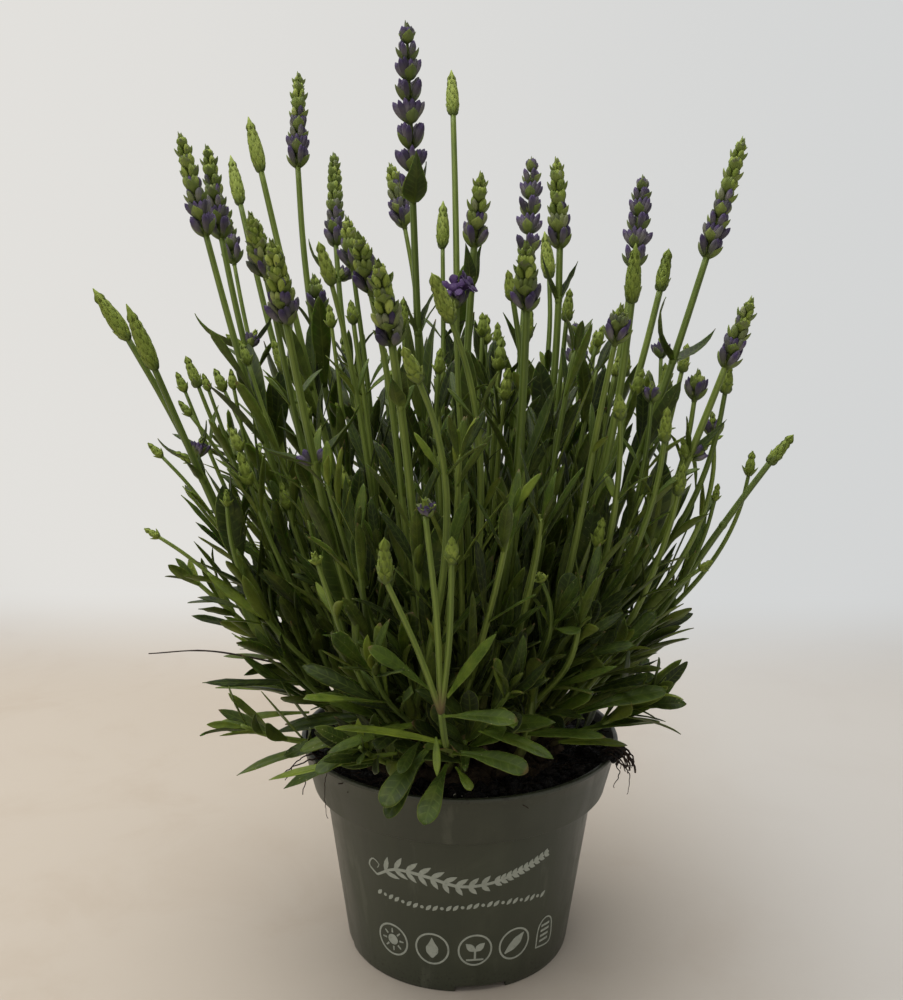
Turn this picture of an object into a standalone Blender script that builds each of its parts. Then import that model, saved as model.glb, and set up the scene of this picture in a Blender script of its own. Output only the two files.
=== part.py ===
"""Potted lavender: a 13 cm nursery pot, its potting soil, the plant's woody crown, flower stalks with
their spikes, and the leafy shoots round the base. Metres, +Z up, origin on the pot's axis where it stands."""

import math
import random

import bmesh
import bpy
import numpy as np
from mathutils import Matrix, Vector
from mathutils.bvhtree import BVHTree

MM = 0.001

# ---------------------------------------------------------------- pot
POT_H = 88 * MM          # height over the rim
RIM_R = 65 * MM          # outside radius of the rim
COLLAR_H = 20 * MM       # the flared band under the rim
COLLAR_FOOT_R = 60 * MM  # outside radius where the band ends
WALL_TOP_R = 55.5 * MM   # outside radius of the tapered wall under the band
BASE_R = 46 * MM         # outside radius at the foot
WALL = 1.3 * MM
FLOOR_Z = 3.0 * MM       # underside of the raised floor panel
NOTCH_W = 20 * MM
NOTCH_H = 2.6 * MM
NOTCH_AT = -79           # degrees; three more follow at quarter turns
DRAIN_R = 3.5 * MM
DRAIN_RING_R = 31 * MM
DRAINS = 6

# ---------------------------------------------------------------- soil and crown
GAP = 0.3 * MM           # clearance between pieces that touch
SOIL_TOP = 81 * MM
CROWN_R = 47 * MM
CROWN_H = 11 * MM

# ---------------------------------------------------------------- flower stalks, in millimetres
# name number: spike tip (x, y, z), top of the bare stalk (x, y, z), distance of its foot from the axis, stage of the spike
STALKS = {
    "01": ((-135, -25, 265), (-124, -22, 247), 44, "bud"),
    "02": ((-116, -47, 259), (-109, -41, 237), 42, "bud"),
    "03": ((-105, -10, 320), (-97, -9, 285), 30, "half"),
    "04": ((-101, 14, 320), (-96, 12, 286), 25, "half"),
    "05": ((-102, 60, 326), (-97, 54, 305), 22, "bud"),
    "06": ((-87, 25, 335), (-82, 23, 314), 17, "bud"),
    "07": ((-69, 42, 354), (-69, 36, 317), 15, "half"),
    "08": ((-59, 80, 329), (-57, 66, 288), 14, "half"),
    "09": ((-58, -90, 275), (-56, -79, 252), 36, "half"),
    "10": ((-25, -112, 268), (-22, -98, 246), 34, "half"),
    "11": ((-21, -30, 353), (-19, -24, 297), 12, "bloom"),
    "12": ((-6, 72, 365), (-5, 65, 345), 8, "bud"),
    "13": ((5, -35, 303), (3, -31, 280), 12, "half"),
    "14": ((30, 64, 325), (28, 52, 284), 14, "bloom"),
    "15": ((34, -6, 313), (36, -5, 282), 12, "half"),
    "16": ((18, -80, 276), (19, -72, 257), 22, "half"),
    "17": ((76, 47, 315), (72, 39, 278), 20, "bloom"),
    "18": ((60, -32, 282), (60, -28, 262), 26, "bud"),
    "19": ((81, 12, 284), (78, 11, 268), 13, "bud"),
    "20": ((103, -5, 321), (92, -4, 279), 19, "half"),
    "21": ((104, -24, 262), (97, -20, 238), 30, "half"),
    "22": ((133, 6, 211), (124, 5, 200), 35, "bud"),
}
STALK_R = 1.9 * MM       # half the diagonal of the square stalk
SPIKE_R = {"bud": 4.2 * MM, "half": 5.6 * MM, "bloom": 6.6 * MM}
WHORLS = {"bud": 3, "half": 4, "bloom": 5}

# ---------------------------------------------------------------- leafy shoots
# name: azimuth in degrees (0 right, -90 front), reach of the growing tip from the axis, its height, leaf pairs
SHOOTS = {
    "front": (-89, 66, 110, 6),
    "front_left": (-114, 84, 112, 6),
    "left_front": (-145, 104, 116, 6),
    "left": (178, 110, 150, 6),
    "left_high": (163, 102, 200, 6),
    "left_back": (146, 100, 150, 6),
    "back_left": (118, 94, 184, 6),
    "back": (92, 90, 142, 6),
    "back_right": (62, 94, 190, 6),
    "right_back": (32, 92, 156, 6),
    "right": (4, 84, 134, 6),
    "right_front": (-24, 80, 116, 6),
    "front_right": (-58, 62, 150, 6),
}
SHOOT_R = 2.0 * MM
LEAF_THICK = 0.9 * MM
LEAF_CLEAR = 1.7 * MM    # thickness of the envelope that each leaf keeps free of its neighbours

random.seed(7)


def clear_scene():
    for obj in list(bpy.data.objects):
        bpy.data.objects.remove(obj, do_unlink=True)


def collection(name):
    made = bpy.data.collections.new(name)
    bpy.context.scene.collection.children.link(made)
    return made


def material(name, colour, roughness):
    mat = bpy.data.materials.new(name)
    mat.use_nodes = True
    shader = mat.node_tree.nodes["Principled BSDF"]
    shader.inputs["Base Color"].default_value = (*colour, 1)
    shader.inputs["Roughness"].default_value = roughness
    shader.inputs["Metallic"].default_value = 0.0
    return mat


def add_object(name, mesh, mat, where):
    obj = bpy.data.objects.new(name, mesh)
    where.objects.link(obj)
    obj.data.materials.clear()
    obj.data.materials.append(mat)
    return obj


def turned(name, profile, steps, mat, where, closed):
    """A profile in the XZ plane, turned about Z with a Screw modifier."""
    mesh = bpy.data.meshes.new(name)
    bm = bmesh.new()
    verts = [bm.verts.new((r, 0, z)) for r, z in profile]
    for a, b in zip(verts, verts[1:]):
        bm.edges.new((a, b))
    if closed:
        bm.edges.new((verts[-1], verts[0]))
    bm.to_mesh(mesh)
    bm.free()
    obj = add_object(name, mesh, mat, where)
    screw = obj.modifiers.new("Screw", "SCREW")
    screw.axis = "Z"
    screw.steps = screw.render_steps = steps
    screw.use_merge_vertices = True
    screw.merge_threshold = 0.00001
    screw.use_smooth_shade = True
    return obj


def applied(obj):
    """The object's mesh with its modifiers or bevel made real, as a new mesh object in its place."""
    bpy.context.view_layer.update()
    graph = bpy.context.evaluated_depsgraph_get()
    mesh = bpy.data.meshes.new_from_object(obj.evaluated_get(graph))
    bm = bmesh.new()
    bm.from_mesh(mesh)
    bmesh.ops.remove_doubles(bm, verts=bm.verts, dist=0.000002)
    bmesh.ops.recalc_face_normals(bm, faces=bm.faces)
    bm.to_mesh(mesh)
    bm.free()
    name, matrix, where = obj.name, obj.matrix_world.copy(), obj.users_collection[0]
    mats = list(obj.data.materials)
    bpy.data.objects.remove(obj, do_unlink=True)
    made = bpy.data.objects.new(name, mesh)
    where.objects.link(made)
    made.matrix_world = matrix
    if not made.data.materials:
        for m in mats:
            made.data.materials.append(m)
    return made


def cutter(obj, where_cut):
    obj.hide_render = True
    obj.display_type = "WIRE"
    where_cut.objects.link(obj)
    for c in list(obj.users_collection):
        if c is not where_cut:
            c.objects.unlink(obj)
    return obj


# ---------------------------------------------------------------- paths of the stalks and shoots
def unit(v):
    v = np.asarray(v, float)
    return v / max(np.linalg.norm(v), 1e-12)


def crown_point(azimuth, radius):
    """A point just above the crown's dome, and the dome's outward normal there. Millimetres."""
    r, h = CROWN_R / MM, CROWN_H / MM
    x, y = radius * math.cos(azimuth), radius * math.sin(azimuth)
    z = h * math.sqrt(max(0.0, 1 - (radius / r) ** 2))
    normal = unit((x / r**2, y / r**2, z / h**2))
    return np.array([x, y, SOIL_TOP / MM + GAP / MM + z]) , normal


def bezier(a, b, c, d, n):
    t = np.linspace(0, 1, n)[:, None]
    return (1 - t) ** 3 * a + 3 * (1 - t) ** 2 * t * b + 3 * (1 - t) * t**2 * c + t**3 * d


def rising(foot, end, end_dir, start_lean, n):
    """A smooth path from the crown: it leaves leaning outwards and arrives along end_dir."""
    azimuth = math.atan2(end[1] - foot[1], end[0] - foot[0])
    out = np.array([math.cos(azimuth), math.sin(azimuth), 0])
    start = math.sin(start_lean) * out + math.cos(start_lean) * np.array([0, 0, 1.0])
    length = np.linalg.norm(end - foot)
    return bezier(foot, foot + start * length * 0.34, end - unit(end_dir) * length * 0.36, end, n)


POINTS = 17             # points along a centre line while it is planned; every second one is kept


def plan_paths():
    """Every stalk's and shoot's centre line in millimetres, moved apart where they would touch."""
    paths = {}
    for key, (tip, neck, foot_radius, _) in STALKS.items():
        tip, neck = np.array(tip, float), np.array(neck, float)
        reach, azimuth = math.hypot(neck[0], neck[1]), math.atan2(neck[1], neck[0])
        foot, _ = crown_point(azimuth, foot_radius)
        lean = math.atan2(reach - math.hypot(foot[0], foot[1]), neck[2] - foot[2])
        paths["flower_stalk_" + key] = rising(foot, neck, tip - neck, min(1.1, 1.55 * lean), POINTS)
    for key, (azimuth, reach, height, _) in SHOOTS.items():
        a = math.radians(azimuth)
        foot, _ = crown_point(a, 39 if height < 160 else 34)
        end = np.array([reach * math.cos(a), reach * math.sin(a), height])
        rise = unit((math.cos(a) * 0.75, math.sin(a) * 0.75, 0.66))
        lean = math.radians(66 if height < 150 else 50)
        paths["leafy_shoot_" + key] = rising(foot, end, rise, lean, POINTS)
    names = list(paths)
    keep = {n: p.copy() for n, p in paths.items()}
    fixed_end = {n: n.startswith("flower") for n in names}
    for _ in range(120):
        moved = 0.0
        for i, first in enumerate(names):
            for second in names[i + 1 :]:
                a, b = paths[first], paths[second]
                gap = a[:, None, :] - b[None, :, :]
                far = np.linalg.norm(gap, axis=2)
                need = 6.2
                for p, q in np.argwhere(far < need):
                    push = gap[p, q] * [1, 1, 0.15]
                    push = unit(push if np.linalg.norm(push) > 0.05 else (1, 0, 0)) * (need - far[p, q]) * 0.5
                    for path, k, s, name in ((a, p, 1, first), (b, q, -1, second)):
                        hold = 0.0 if (k == POINTS - 1 and fixed_end[name]) else (0.35 if k >= POINTS - 2 else 1.0)
                        path[k] += s * push * hold
                        if 0 < k < POINTS - 1:
                            path[k - 1 if k > 1 else k] += s * push * 0.3 * hold
                    moved += need - far[p, q]
        for n, p in paths.items():
            # the foot stays on the dome, and the line stays smooth
            radius = min(0.94 * CROWN_R / MM, math.hypot(p[0, 0], p[0, 1]))
            p[0], _ = crown_point(math.atan2(p[0, 1], p[0, 0]), radius)
            inner = 0.5 * (p[:-2] + p[2:])
            p[1:-1] += 0.12 * (inner - p[1:-1]) + 0.02 * (keep[n][1:-1] - p[1:-1])
        if moved < 0.01:
            break
    return {n: p[::2].copy() for n, p in paths.items()}


def tube(name, path_mm, radius, mat, where, taper=0.62):
    """A square stalk: a POLY curve with a four-sided bevel and filled caps, made a mesh."""
    data = bpy.data.curves.new(name, "CURVE")
    data.dimensions = "3D"
    data.bevel_depth = radius
    data.bevel_resolution = 0
    data.use_fill_caps = True
    spline = data.splines.new("POLY")
    spline.points.add(len(path_mm) - 1)
    for k, p in enumerate(path_mm):
        share = k / (len(path_mm) - 1)
        spline.points[k].co = (*(np.array(p) * MM), 1)
        spline.points[k].radius = 1.0 + (taper - 1.0) * share
    obj = bpy.data.objects.new(name, data)
    where.objects.link(obj)
    data.materials.append(mat)
    return applied(obj)


def spike(key, neck, tip, stage, mat, where):
    """A flower spike: whorls of calyces, turned about the line from the stalk's top to the tip."""
    axis = Vector(tip) * MM - Vector(neck) * MM
    length, radius, n = axis.length, SPIKE_R[stage], WHORLS[stage]
    profile = [(0.0, length)]
    for k in range(n, 0, -1):
        low, high = (k - 1) / n, k / n
        size = radius * (1.0 - 0.55 * (k - 0.5) / n) if stage == "bud" else radius * (1.0 - 0.34 * ((k - 0.5) / n) ** 2)
        profile.append((size * (0.42 if k == n else 0.74), length * (low + 0.86 * (high - low))))
        profile.append((size, length * (low + 0.42 * (high - low))))
    profile += [(radius * 0.45, length * 0.02), (0.0, 0.0)]
    obj = turned("flower_spike_" + key, profile, 6, mat, where, False)
    obj.location = Vector(neck) * MM + axis.normalized() * GAP
    obj.rotation_mode = "QUATERNION"
    obj.rotation_quaternion = axis.to_track_quat("Z", "Y")
    return applied(obj)


LEAF_ROWS = ((0.0, 0.38), (0.45, 1.0), (1.0, 0.18))


def leaf(origin, along, normal, length, width, droop, thickness):
    """A leaf blade in metres: a grid shaped to the leaf's outline and bent, thickened with Solidify."""
    mesh = bpy.data.meshes.new("leaf")
    bm = bmesh.new()
    bmesh.ops.create_grid(bm, x_segments=1, y_segments=len(LEAF_ROWS) - 1, size=1)
    y_dir = Vector(along).normalized()
    x_dir = y_dir.cross(Vector(normal)).normalized()
    for v in bm.verts:
        row = round((v.co.y + 1) / 2 * (len(LEAF_ROWS) - 1))
        s, w = LEAF_ROWS[row]
        side = 1 if v.co.x > 0 else -1
        v.co = (
            Vector(origin)
            + y_dir * (length * s)
            + x_dir * (side * 0.5 * width * w)
            + Vector((0, 0, -1)) * (droop * length * s * s)
        )
    bm.to_mesh(mesh)
    bm.free()
    obj = bpy.data.objects.new("leaf", mesh)
    solid = obj.modifiers.new("Solidify", "SOLIDIFY")
    solid.thickness = thickness
    solid.offset = 0.0
    return obj


def tree_of(obj):
    bpy.context.view_layer.update()
    graph = bpy.context.evaluated_depsgraph_get()
    mesh = obj.evaluated_get(graph).to_mesh()
    points = [obj.matrix_world @ v.co for v in mesh.vertices]
    return BVHTree.FromPolygons(points, [tuple(p.vertices) for p in mesh.polygons])


def add_leaves(owner, path_mm, wanted, taken, scratch):
    """Leaves in crossed pairs on a stem. Each turns or shortens until it clears its neighbours, or is left off."""
    leaves = []
    path = np.array(path_mm) * MM
    lengths = np.concatenate([[0], np.cumsum(np.linalg.norm(np.diff(path, axis=0), axis=1))])
    lengths /= lengths[-1]
    for t, pair, length, width, open_angle, droop in wanted:
        at = np.array([np.interp(t, lengths, path[:, k]) for k in range(3)])
        ahead = np.array([np.interp(min(1, t + 0.05), lengths, path[:, k]) for k in range(3)])
        behind = np.array([np.interp(max(0, t - 0.05), lengths, path[:, k]) for k in range(3)])
        tangent = Vector(unit(ahead - behind))
        side = tangent.cross(Vector((0, 0, 1)))
        side = side.normalized() if side.length > 0.05 else Vector((1, 0, 0))
        for half in (0, 1):
            placed = None
            for turn, scale in ((0, 1), (22, 1), (-22, 1), (40, 0.9), (-40, 0.9), (12, 0.7), (-12, 0.7), (0, 0.55), (60, 0.6)):
                spin = math.radians(pair * 90 + half * 180 + turn)
                out = Matrix.Rotation(spin, 3, tangent) @ side
                a = math.radians(open_angle)
                along = (out * math.sin(a) + tangent * math.cos(a)).normalized()
                normal = (tangent * math.sin(a) - out * math.cos(a)).normalized()
                origin = Vector(at) + out * 0.00035
                test = leaf(origin + along * 0.0026, along, normal, length * scale, width * scale * 1.1, droop, LEAF_CLEAR)
                scratch.objects.link(test)
                tree = tree_of(test)
                clear = all(name == owner.name or not tree.overlap(other) for name, other in taken)
                low = min((test.matrix_world @ v.co).z for v in test.data.vertices)
                bpy.data.objects.remove(test, do_unlink=True)
                if clear and low > 0.03:
                    placed = (origin, along, normal, length * scale, width * scale, droop, tree)
                    break
            if placed:
                origin, along, normal, ln, wd, dr, tree = placed
                made = leaf(origin, along, normal, ln, wd, dr, LEAF_THICK)
                scratch.objects.link(made)
                leaves.append(made)
                taken.append((owner.name + ":leaf", tree))
    return leaves


def joined(owner, leaves, where_cut):
    """The stem and its leaves as one body, by a Boolean union."""
    for obj in leaves:
        obj.hide_render = True
        obj.display_type = "WIRE"
    group = bpy.data.collections.new(owner.name + "_leaves")
    where_cut.children.link(group)
    for obj in leaves:
        group.objects.link(obj)
        for c in list(obj.users_collection):
            if c is not group:
                c.objects.unlink(obj)
    union = owner.modifiers.new("Union", "BOOLEAN")
    union.operation = "UNION"
    union.operand_type = "COLLECTION"
    union.collection = group
    union.solver = "EXACT"
    union.use_self = False
    made = applied(owner)
    for obj in leaves:
        bpy.data.objects.remove(obj, do_unlink=True)
    return made


def make_pot(mat, where, where_cut):
    top = POT_H - COLLAR_H
    inner = WALL
    profile = [
        (0.0, FLOOR_Z + inner),
        (BASE_R - inner + 0.0004, FLOOR_Z + inner),
        (WALL_TOP_R - inner, top + inner),
        (COLLAR_FOOT_R - inner, top + inner + 0.0012),
        (RIM_R - inner - 0.0006, POT_H - 0.0006),
        (RIM_R - inner, POT_H),
        (RIM_R - 0.0004, POT_H),
        (RIM_R, POT_H - 0.0010),
        (COLLAR_FOOT_R + 0.0002, top + 0.0006),
        (COLLAR_FOOT_R - 0.0006, top),
        (WALL_TOP_R, top),
        (BASE_R, 0.0),
        (BASE_R - 0.0016, 0.0),
        (BASE_R - 0.0016, FLOOR_Z),
        (0.0, FLOOR_Z),
    ]
    profile = profile[::-1]
    pot = applied(turned("pot", profile[::-1], 48, mat, where, False))
    cuts = []
    for k in range(4):
        a = math.radians(NOTCH_AT + 90 * k)
        bpy.ops.mesh.primitive_cube_add(size=1, location=(BASE_R * math.cos(a), BASE_R * math.sin(a), NOTCH_H / 2 - 0.001))
        cube = bpy.context.object
        cube.name = f"notch_cutter_{k}"
        cube.scale = (0.012, NOTCH_W, NOTCH_H + 0.002)
        cube.rotation_euler = (0, 0, a)
        cuts.append(cutter(cube, where_cut))
    for k in range(DRAINS):
        a = math.radians(20 + 360 / DRAINS * k)
        bpy.ops.mesh.primitive_cylinder_add(
            vertices=12, radius=DRAIN_R, depth=0.02, location=(DRAIN_RING_R * math.cos(a), DRAIN_RING_R * math.sin(a), FLOOR_Z)
        )
        hole = bpy.context.object
        hole.name = f"drain_cutter_{k}"
        cuts.append(cutter(hole, where_cut))
    for obj in cuts:
        cut = pot.modifiers.new(obj.name, "BOOLEAN")
        cut.operation = "DIFFERENCE"
        cut.object = obj
        cut.solver = "EXACT"
    return pot


def make_soil(mat, where):
    """The rooted soil, as the pot shapes it, with a slightly domed top."""
    top = POT_H - COLLAR_H
    clear = WALL + 0.0005
    slope = (WALL_TOP_R - BASE_R) / top
    low = FLOOR_Z + WALL + 0.0004
    profile = [
        (0.0, SOIL_TOP),
        (CROWN_R + 0.001, SOIL_TOP),
        (COLLAR_FOOT_R - clear + 0.0026 - 0.004, SOIL_TOP - 0.0012),
        (COLLAR_FOOT_R - clear + 0.0019, SOIL_TOP - 0.0032),
        (COLLAR_FOOT_R - clear - 0.0006, top + 0.0042),
        (WALL_TOP_R - clear - 0.0008, top + 0.0010),
        (BASE_R - clear + slope * low, low),
        (0.0, low),
    ]
    return applied(turned("potting_soil", profile, 36, mat, where, False))


def make_crown(mat, where):
    """The low woody crown that every stalk and shoot grows from: a flattened half sphere."""
    mesh = bpy.data.meshes.new("woody_crown")
    bm = bmesh.new()
    bmesh.ops.create_uvsphere(bm, u_segments=20, v_segments=12, radius=1.0)
    bmesh.ops.bisect_plane(
        bm, geom=bm.verts[:] + bm.edges[:] + bm.faces[:], plane_co=(0, 0, 0.05), plane_no=(0, 0, 1), clear_inner=True
    )
    bmesh.ops.holes_fill(bm, edges=[e for e in bm.edges if e.is_boundary])
    squash = (CROWN_H - 0.0002) / 1.0
    for v in bm.verts:
        v.co = (v.co.x * (CROWN_R - 0.0003), v.co.y * (CROWN_R - 0.0003), SOIL_TOP + GAP + (v.co.z - 0.05) * squash)
    bmesh.ops.recalc_face_normals(bm, faces=bm.faces)
    bm.to_mesh(mesh)
    bm.free()
    return add_object("woody_crown", mesh, mat, where)


def main():
    clear_scene()
    parts, cutters = collection("potted_lavender"), collection("cutters")
    green = material("stalk", (0.19, 0.27, 0.08), 0.6)
    blade = material("leaf", (0.07, 0.12, 0.04), 0.55)
    buds = material("green_buds", (0.25, 0.36, 0.08), 0.65)
    violet = material("violet_buds", (0.13, 0.09, 0.20), 0.7)
    wood = material("old_wood", (0.13, 0.09, 0.06), 0.85)
    peat = material("soil", (0.02, 0.015, 0.012), 0.95)
    plastic = material("pot_plastic", (0.085, 0.09, 0.07), 0.45)

    pot = make_pot(plastic, parts, cutters)
    soil = make_soil(peat, parts)
    crown = make_crown(wood, parts)

    paths = plan_paths()
    stems, taken = {}, []
    for name, path in paths.items():
        first = path[0] + unit(path[1] - path[0]) * 0.9
        path[0] = first
        if name.startswith("flower_stalk_"):
            stems[name] = tube(name, path, STALK_R, green, parts)
        else:
            stems[name] = tube(name, path, SHOOT_R, blade, parts, 0.5)
    for key, (tip, neck, _, stage) in STALKS.items():
        made = spike(key, neck, tip, stage, buds if stage == "bud" else violet, parts)
        taken.append((made.name, tree_of(made)))
    for obj in [pot, soil, crown, *stems.values()]:
        taken.append((obj.name, tree_of(obj)))

    for name, obj in list(stems.items()):
        if name.startswith("flower_stalk_"):
            spin = random.uniform(0, 1)
            wanted = [
                (0.30 + 0.06 * random.random(), spin, 0.036 + 0.012 * random.random(), 0.0065, 34, 0.10),
                (0.66 + 0.05 * random.random(), spin + 1, 0.020 + 0.006 * random.random(), 0.0048, 32, -0.12),
            ]
        else:
            pairs = SHOOTS[name[len("leafy_shoot_") :]][3]
            wanted = []
            for k in range(pairs):
                t = 0.24 + 0.74 * k / (pairs - 1)
                size = 1.0 - 0.45 * (k / (pairs - 1)) ** 1.5
                wanted.append((t, k, (0.040 + 0.008 * random.random()) * size, 0.0088 * size, 58 - 26 * k / (pairs - 1), 0.16 - 0.05 * k))
        joined(obj, add_leaves(obj, paths[name], wanted, taken, cutters), cutters)


main()
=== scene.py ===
"""Looks of the potted lavender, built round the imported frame. Lengths in the making are in millimetres."""

import math

import bpy
import numpy as np
from mathutils import Matrix, Vector


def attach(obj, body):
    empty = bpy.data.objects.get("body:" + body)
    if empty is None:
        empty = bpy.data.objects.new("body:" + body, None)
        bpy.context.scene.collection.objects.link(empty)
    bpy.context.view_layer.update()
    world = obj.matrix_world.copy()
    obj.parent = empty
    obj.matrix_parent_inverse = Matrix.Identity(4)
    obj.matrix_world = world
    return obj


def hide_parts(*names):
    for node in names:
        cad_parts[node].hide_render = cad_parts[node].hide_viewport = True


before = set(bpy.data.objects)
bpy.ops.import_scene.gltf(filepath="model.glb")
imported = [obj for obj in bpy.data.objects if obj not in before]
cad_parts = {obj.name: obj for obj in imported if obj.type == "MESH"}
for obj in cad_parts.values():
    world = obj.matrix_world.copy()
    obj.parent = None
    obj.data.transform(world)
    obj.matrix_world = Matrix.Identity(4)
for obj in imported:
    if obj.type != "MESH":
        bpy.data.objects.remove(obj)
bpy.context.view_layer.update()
rng = np.random.default_rng(41)
MM = 0.001

# ---------------------------------------------------------------- the CAD's own numbers
POT_H, RIM_R, COLLAR_H, COLLAR_FOOT_R, WALL_TOP_R, BASE_R = 88.0, 65.0, 20.0, 60.0, 55.5, 46.0
WALL, FLOOR_Z, NOTCH_W, NOTCH_H, NOTCH_AT = 1.3, 3.0, 20.0, 2.6, -79
DRAIN_R, DRAIN_RING_R, DRAINS = 3.5, 31.0, 6
GAP, SOIL_TOP, CROWN_R, CROWN_H = 0.3, 81.0, 47.0, 11.0
STALKS = {
    "01": ((-135, -25, 265), (-124, -22, 247), 44, "bud"),
    "02": ((-116, -47, 259), (-109, -41, 237), 42, "bud"),
    "03": ((-105, -10, 320), (-97, -9, 285), 30, "half"),
    "04": ((-101, 14, 320), (-96, 12, 286), 25, "half"),
    "05": ((-102, 60, 326), (-97, 54, 305), 22, "bud"),
    "06": ((-87, 25, 335), (-82, 23, 314), 17, "bud"),
    "07": ((-69, 42, 354), (-69, 36, 317), 15, "half"),
    "08": ((-59, 80, 329), (-57, 66, 288), 14, "half"),
    "09": ((-58, -90, 275), (-56, -79, 252), 36, "half"),
    "10": ((-25, -112, 268), (-22, -98, 246), 34, "half"),
    "11": ((-21, -30, 353), (-19, -24, 297), 12, "bloom"),
    "12": ((-6, 72, 365), (-5, 65, 345), 8, "bud"),
    "13": ((5, -35, 303), (3, -31, 280), 12, "half"),
    "14": ((30, 64, 325), (28, 52, 284), 14, "bloom"),
    "15": ((34, -6, 313), (36, -5, 282), 12, "half"),
    "16": ((18, -80, 276), (19, -72, 257), 22, "half"),
    "17": ((76, 47, 315), (72, 39, 278), 20, "bloom"),
    "18": ((60, -32, 282), (60, -28, 262), 26, "bud"),
    "19": ((81, 12, 284), (78, 11, 268), 13, "bud"),
    "20": ((103, -5, 321), (92, -4, 279), 19, "half"),
    "21": ((104, -24, 262), (97, -20, 238), 30, "half"),
    "22": ((133, 6, 211), (124, 5, 200), 35, "bud"),
}
SHOOTS = {
    "front": (-89, 66, 110, 6),
    "front_left": (-114, 84, 112, 6),
    "left_front": (-145, 104, 116, 6),
    "left": (178, 110, 150, 6),
    "left_high": (163, 102, 200, 6),
    "left_back": (146, 100, 150, 6),
    "back_left": (118, 94, 184, 6),
    "back": (92, 90, 142, 6),
    "back_right": (62, 94, 190, 6),
    "right_back": (32, 92, 156, 6),
    "right": (4, 84, 134, 6),
    "right_front": (-24, 80, 116, 6),
    "front_right": (-58, 62, 150, 6),
}
POINTS = 17

# smaller side spikes between the main ones: tip, neck, stage
SIDE = [
    ((-105, 55, 304), (-99, 48, 279), "half"),
    ((-68, -70, 285), (-65, -63, 267), "half"),
    ((-51, -40, 281), (-47, -37, 267), "bud"),
    ((-45, 0, 292), (-43, 0, 274), "half"),
    ((-33, -85, 278), (-30, -77, 262), "half"),
    ((-31, 45, 319), (-25, 40, 294), "half"),
    ((-9, 55, 307), (-9, 50, 287), "bud"),
    ((-11, -85, 268), (-5, -78, 254), "bud"),
    ((14, -50, 271), (16, -47, 262), "bud"),
    ((34, 40, 293), (36, 36, 274), "bud"),
    ((101, -12, 239), (100, -11, 229), "bud"),
    ((51, -60, 258), (50, -56, 247), "half"),
    ((92, 20, 247), (90, 19, 236), "bud"),
    ((53, 80, 254), (53, 67, 227), "bloom"),
    ((60, 60, 251), (59, 58, 241), "tiny"),
    ((87, 50, 249), (87, 48, 240), "violet"),
    ((81, 10, 239), (82, 10, 229), "bud"),
    ((14, 20, 254), (14, 20, 246), "tiny"),
    ((70, -20, 232), (70, -20, 225), "violet"),
    ((53, -50, 230), (54, -48, 222), "bud"),
    ((72, -40, 225), (72, -37, 213), "bud"),
    ((92, 0, 235), (91, 0, 225), "half"),
    ((97, -5, 220), (98, -5, 211), "violet"),
    ((118, 10, 203), (117, 10, 194), "tiny"),
    ((102, 0, 191), (101, 0, 185), "tiny"),
    ((98, -10, 162), (94, -10, 159), "tiny"),
    ((-115, 10, 233), (-112, 10, 226), "tiny"),
    ((-114, 20, 240), (-109, 19, 228), "bud"),
    ((-102, 0, 233), (-100, 0, 227), "tiny"),
    ((-102, 20, 234), (-98, 18, 226), "tiny"),
    ((-90, -5, 235), (-89, -5, 228), "tiny"),
    ((-109, -10, 223), (-105, -10, 218), "tiny"),
    ((-126, 5, 205), (-121, 5, 200), "tiny"),
    ((-124, -10, 173), (-119, -10, 170), "tiny"),
    ((-85, -40, 193), (-85, -40, 188), "tiny"),
    ((-49, -75, 178), (-48, -75, 175), "tiny"),
    ((-24, -105, 190), (-24, -100, 176), "bud"),
    ((-12, -100, 200), (-11, -98, 195), "violet"),
    ((-4, -98, 189), (-4, -95, 181), "bud"),
    ((26, -60, 168), (27, -60, 166), "tiny"),
    ((-71, -20, 247), (-67, -19, 236), "bud"),
    ((-43, -10, 262), (-42, -10, 254), "bud"),
    ((-62, 30, 272), (-60, 28, 258), "half"),
    ((-53, 5, 260), (-52, 5, 252), "tiny"),
    ((-18, -118, 246), (-14, -112, 237), "bud"),
    ((-3, -62, 268), (-3, -60, 258), "open"),
    ((24, -20, 262), (23, -20, 249), "bud"),
    ((42, 10, 268), (41, 10, 256), "bud"),
    ((62, -10, 246), (61, -10, 235), "bud"),
    ((-24, 10, 264), (-24, 10, 252), "bud"),
    ((8, 30, 258), (8, 30, 249), "tiny"),
    ((80, -34, 204), (79, -32, 193), "bud"),
]


# ---------------------------------------------------------------- small vector helpers
def unit(v):
    v = np.asarray(v, float)
    return v / max(np.linalg.norm(v), 1e-12)


def across(d, hint):
    """hint made square to d."""
    h = np.asarray(hint, float) - d * float(np.dot(d, hint))
    if np.linalg.norm(h) < 1e-6:
        h = np.cross(d, (0.3, 0.8, 0.5))
    return unit(h)


def turn(v, axis, angle):
    c, s = math.cos(angle), math.sin(angle)
    return v * c + np.cross(axis, v) * s + axis * float(np.dot(axis, v)) * (1 - c)


def uni(a, b):
    return float(rng.uniform(a, b))


# ---------------------------------------------------------------- centre lines, as the CAD plans them
def crown_point(azimuth, radius):
    r, h = CROWN_R, CROWN_H
    x, y = radius * math.cos(azimuth), radius * math.sin(azimuth)
    z = h * math.sqrt(max(0.0, 1 - (radius / r) ** 2))
    normal = unit((x / r**2, y / r**2, z / h**2))
    return np.array([x, y, SOIL_TOP + GAP + z]), normal


def bezier(a, b, c, d, n):
    t = np.linspace(0, 1, n)[:, None]
    return (1 - t) ** 3 * a + 3 * (1 - t) ** 2 * t * b + 3 * (1 - t) * t**2 * c + t**3 * d


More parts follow.
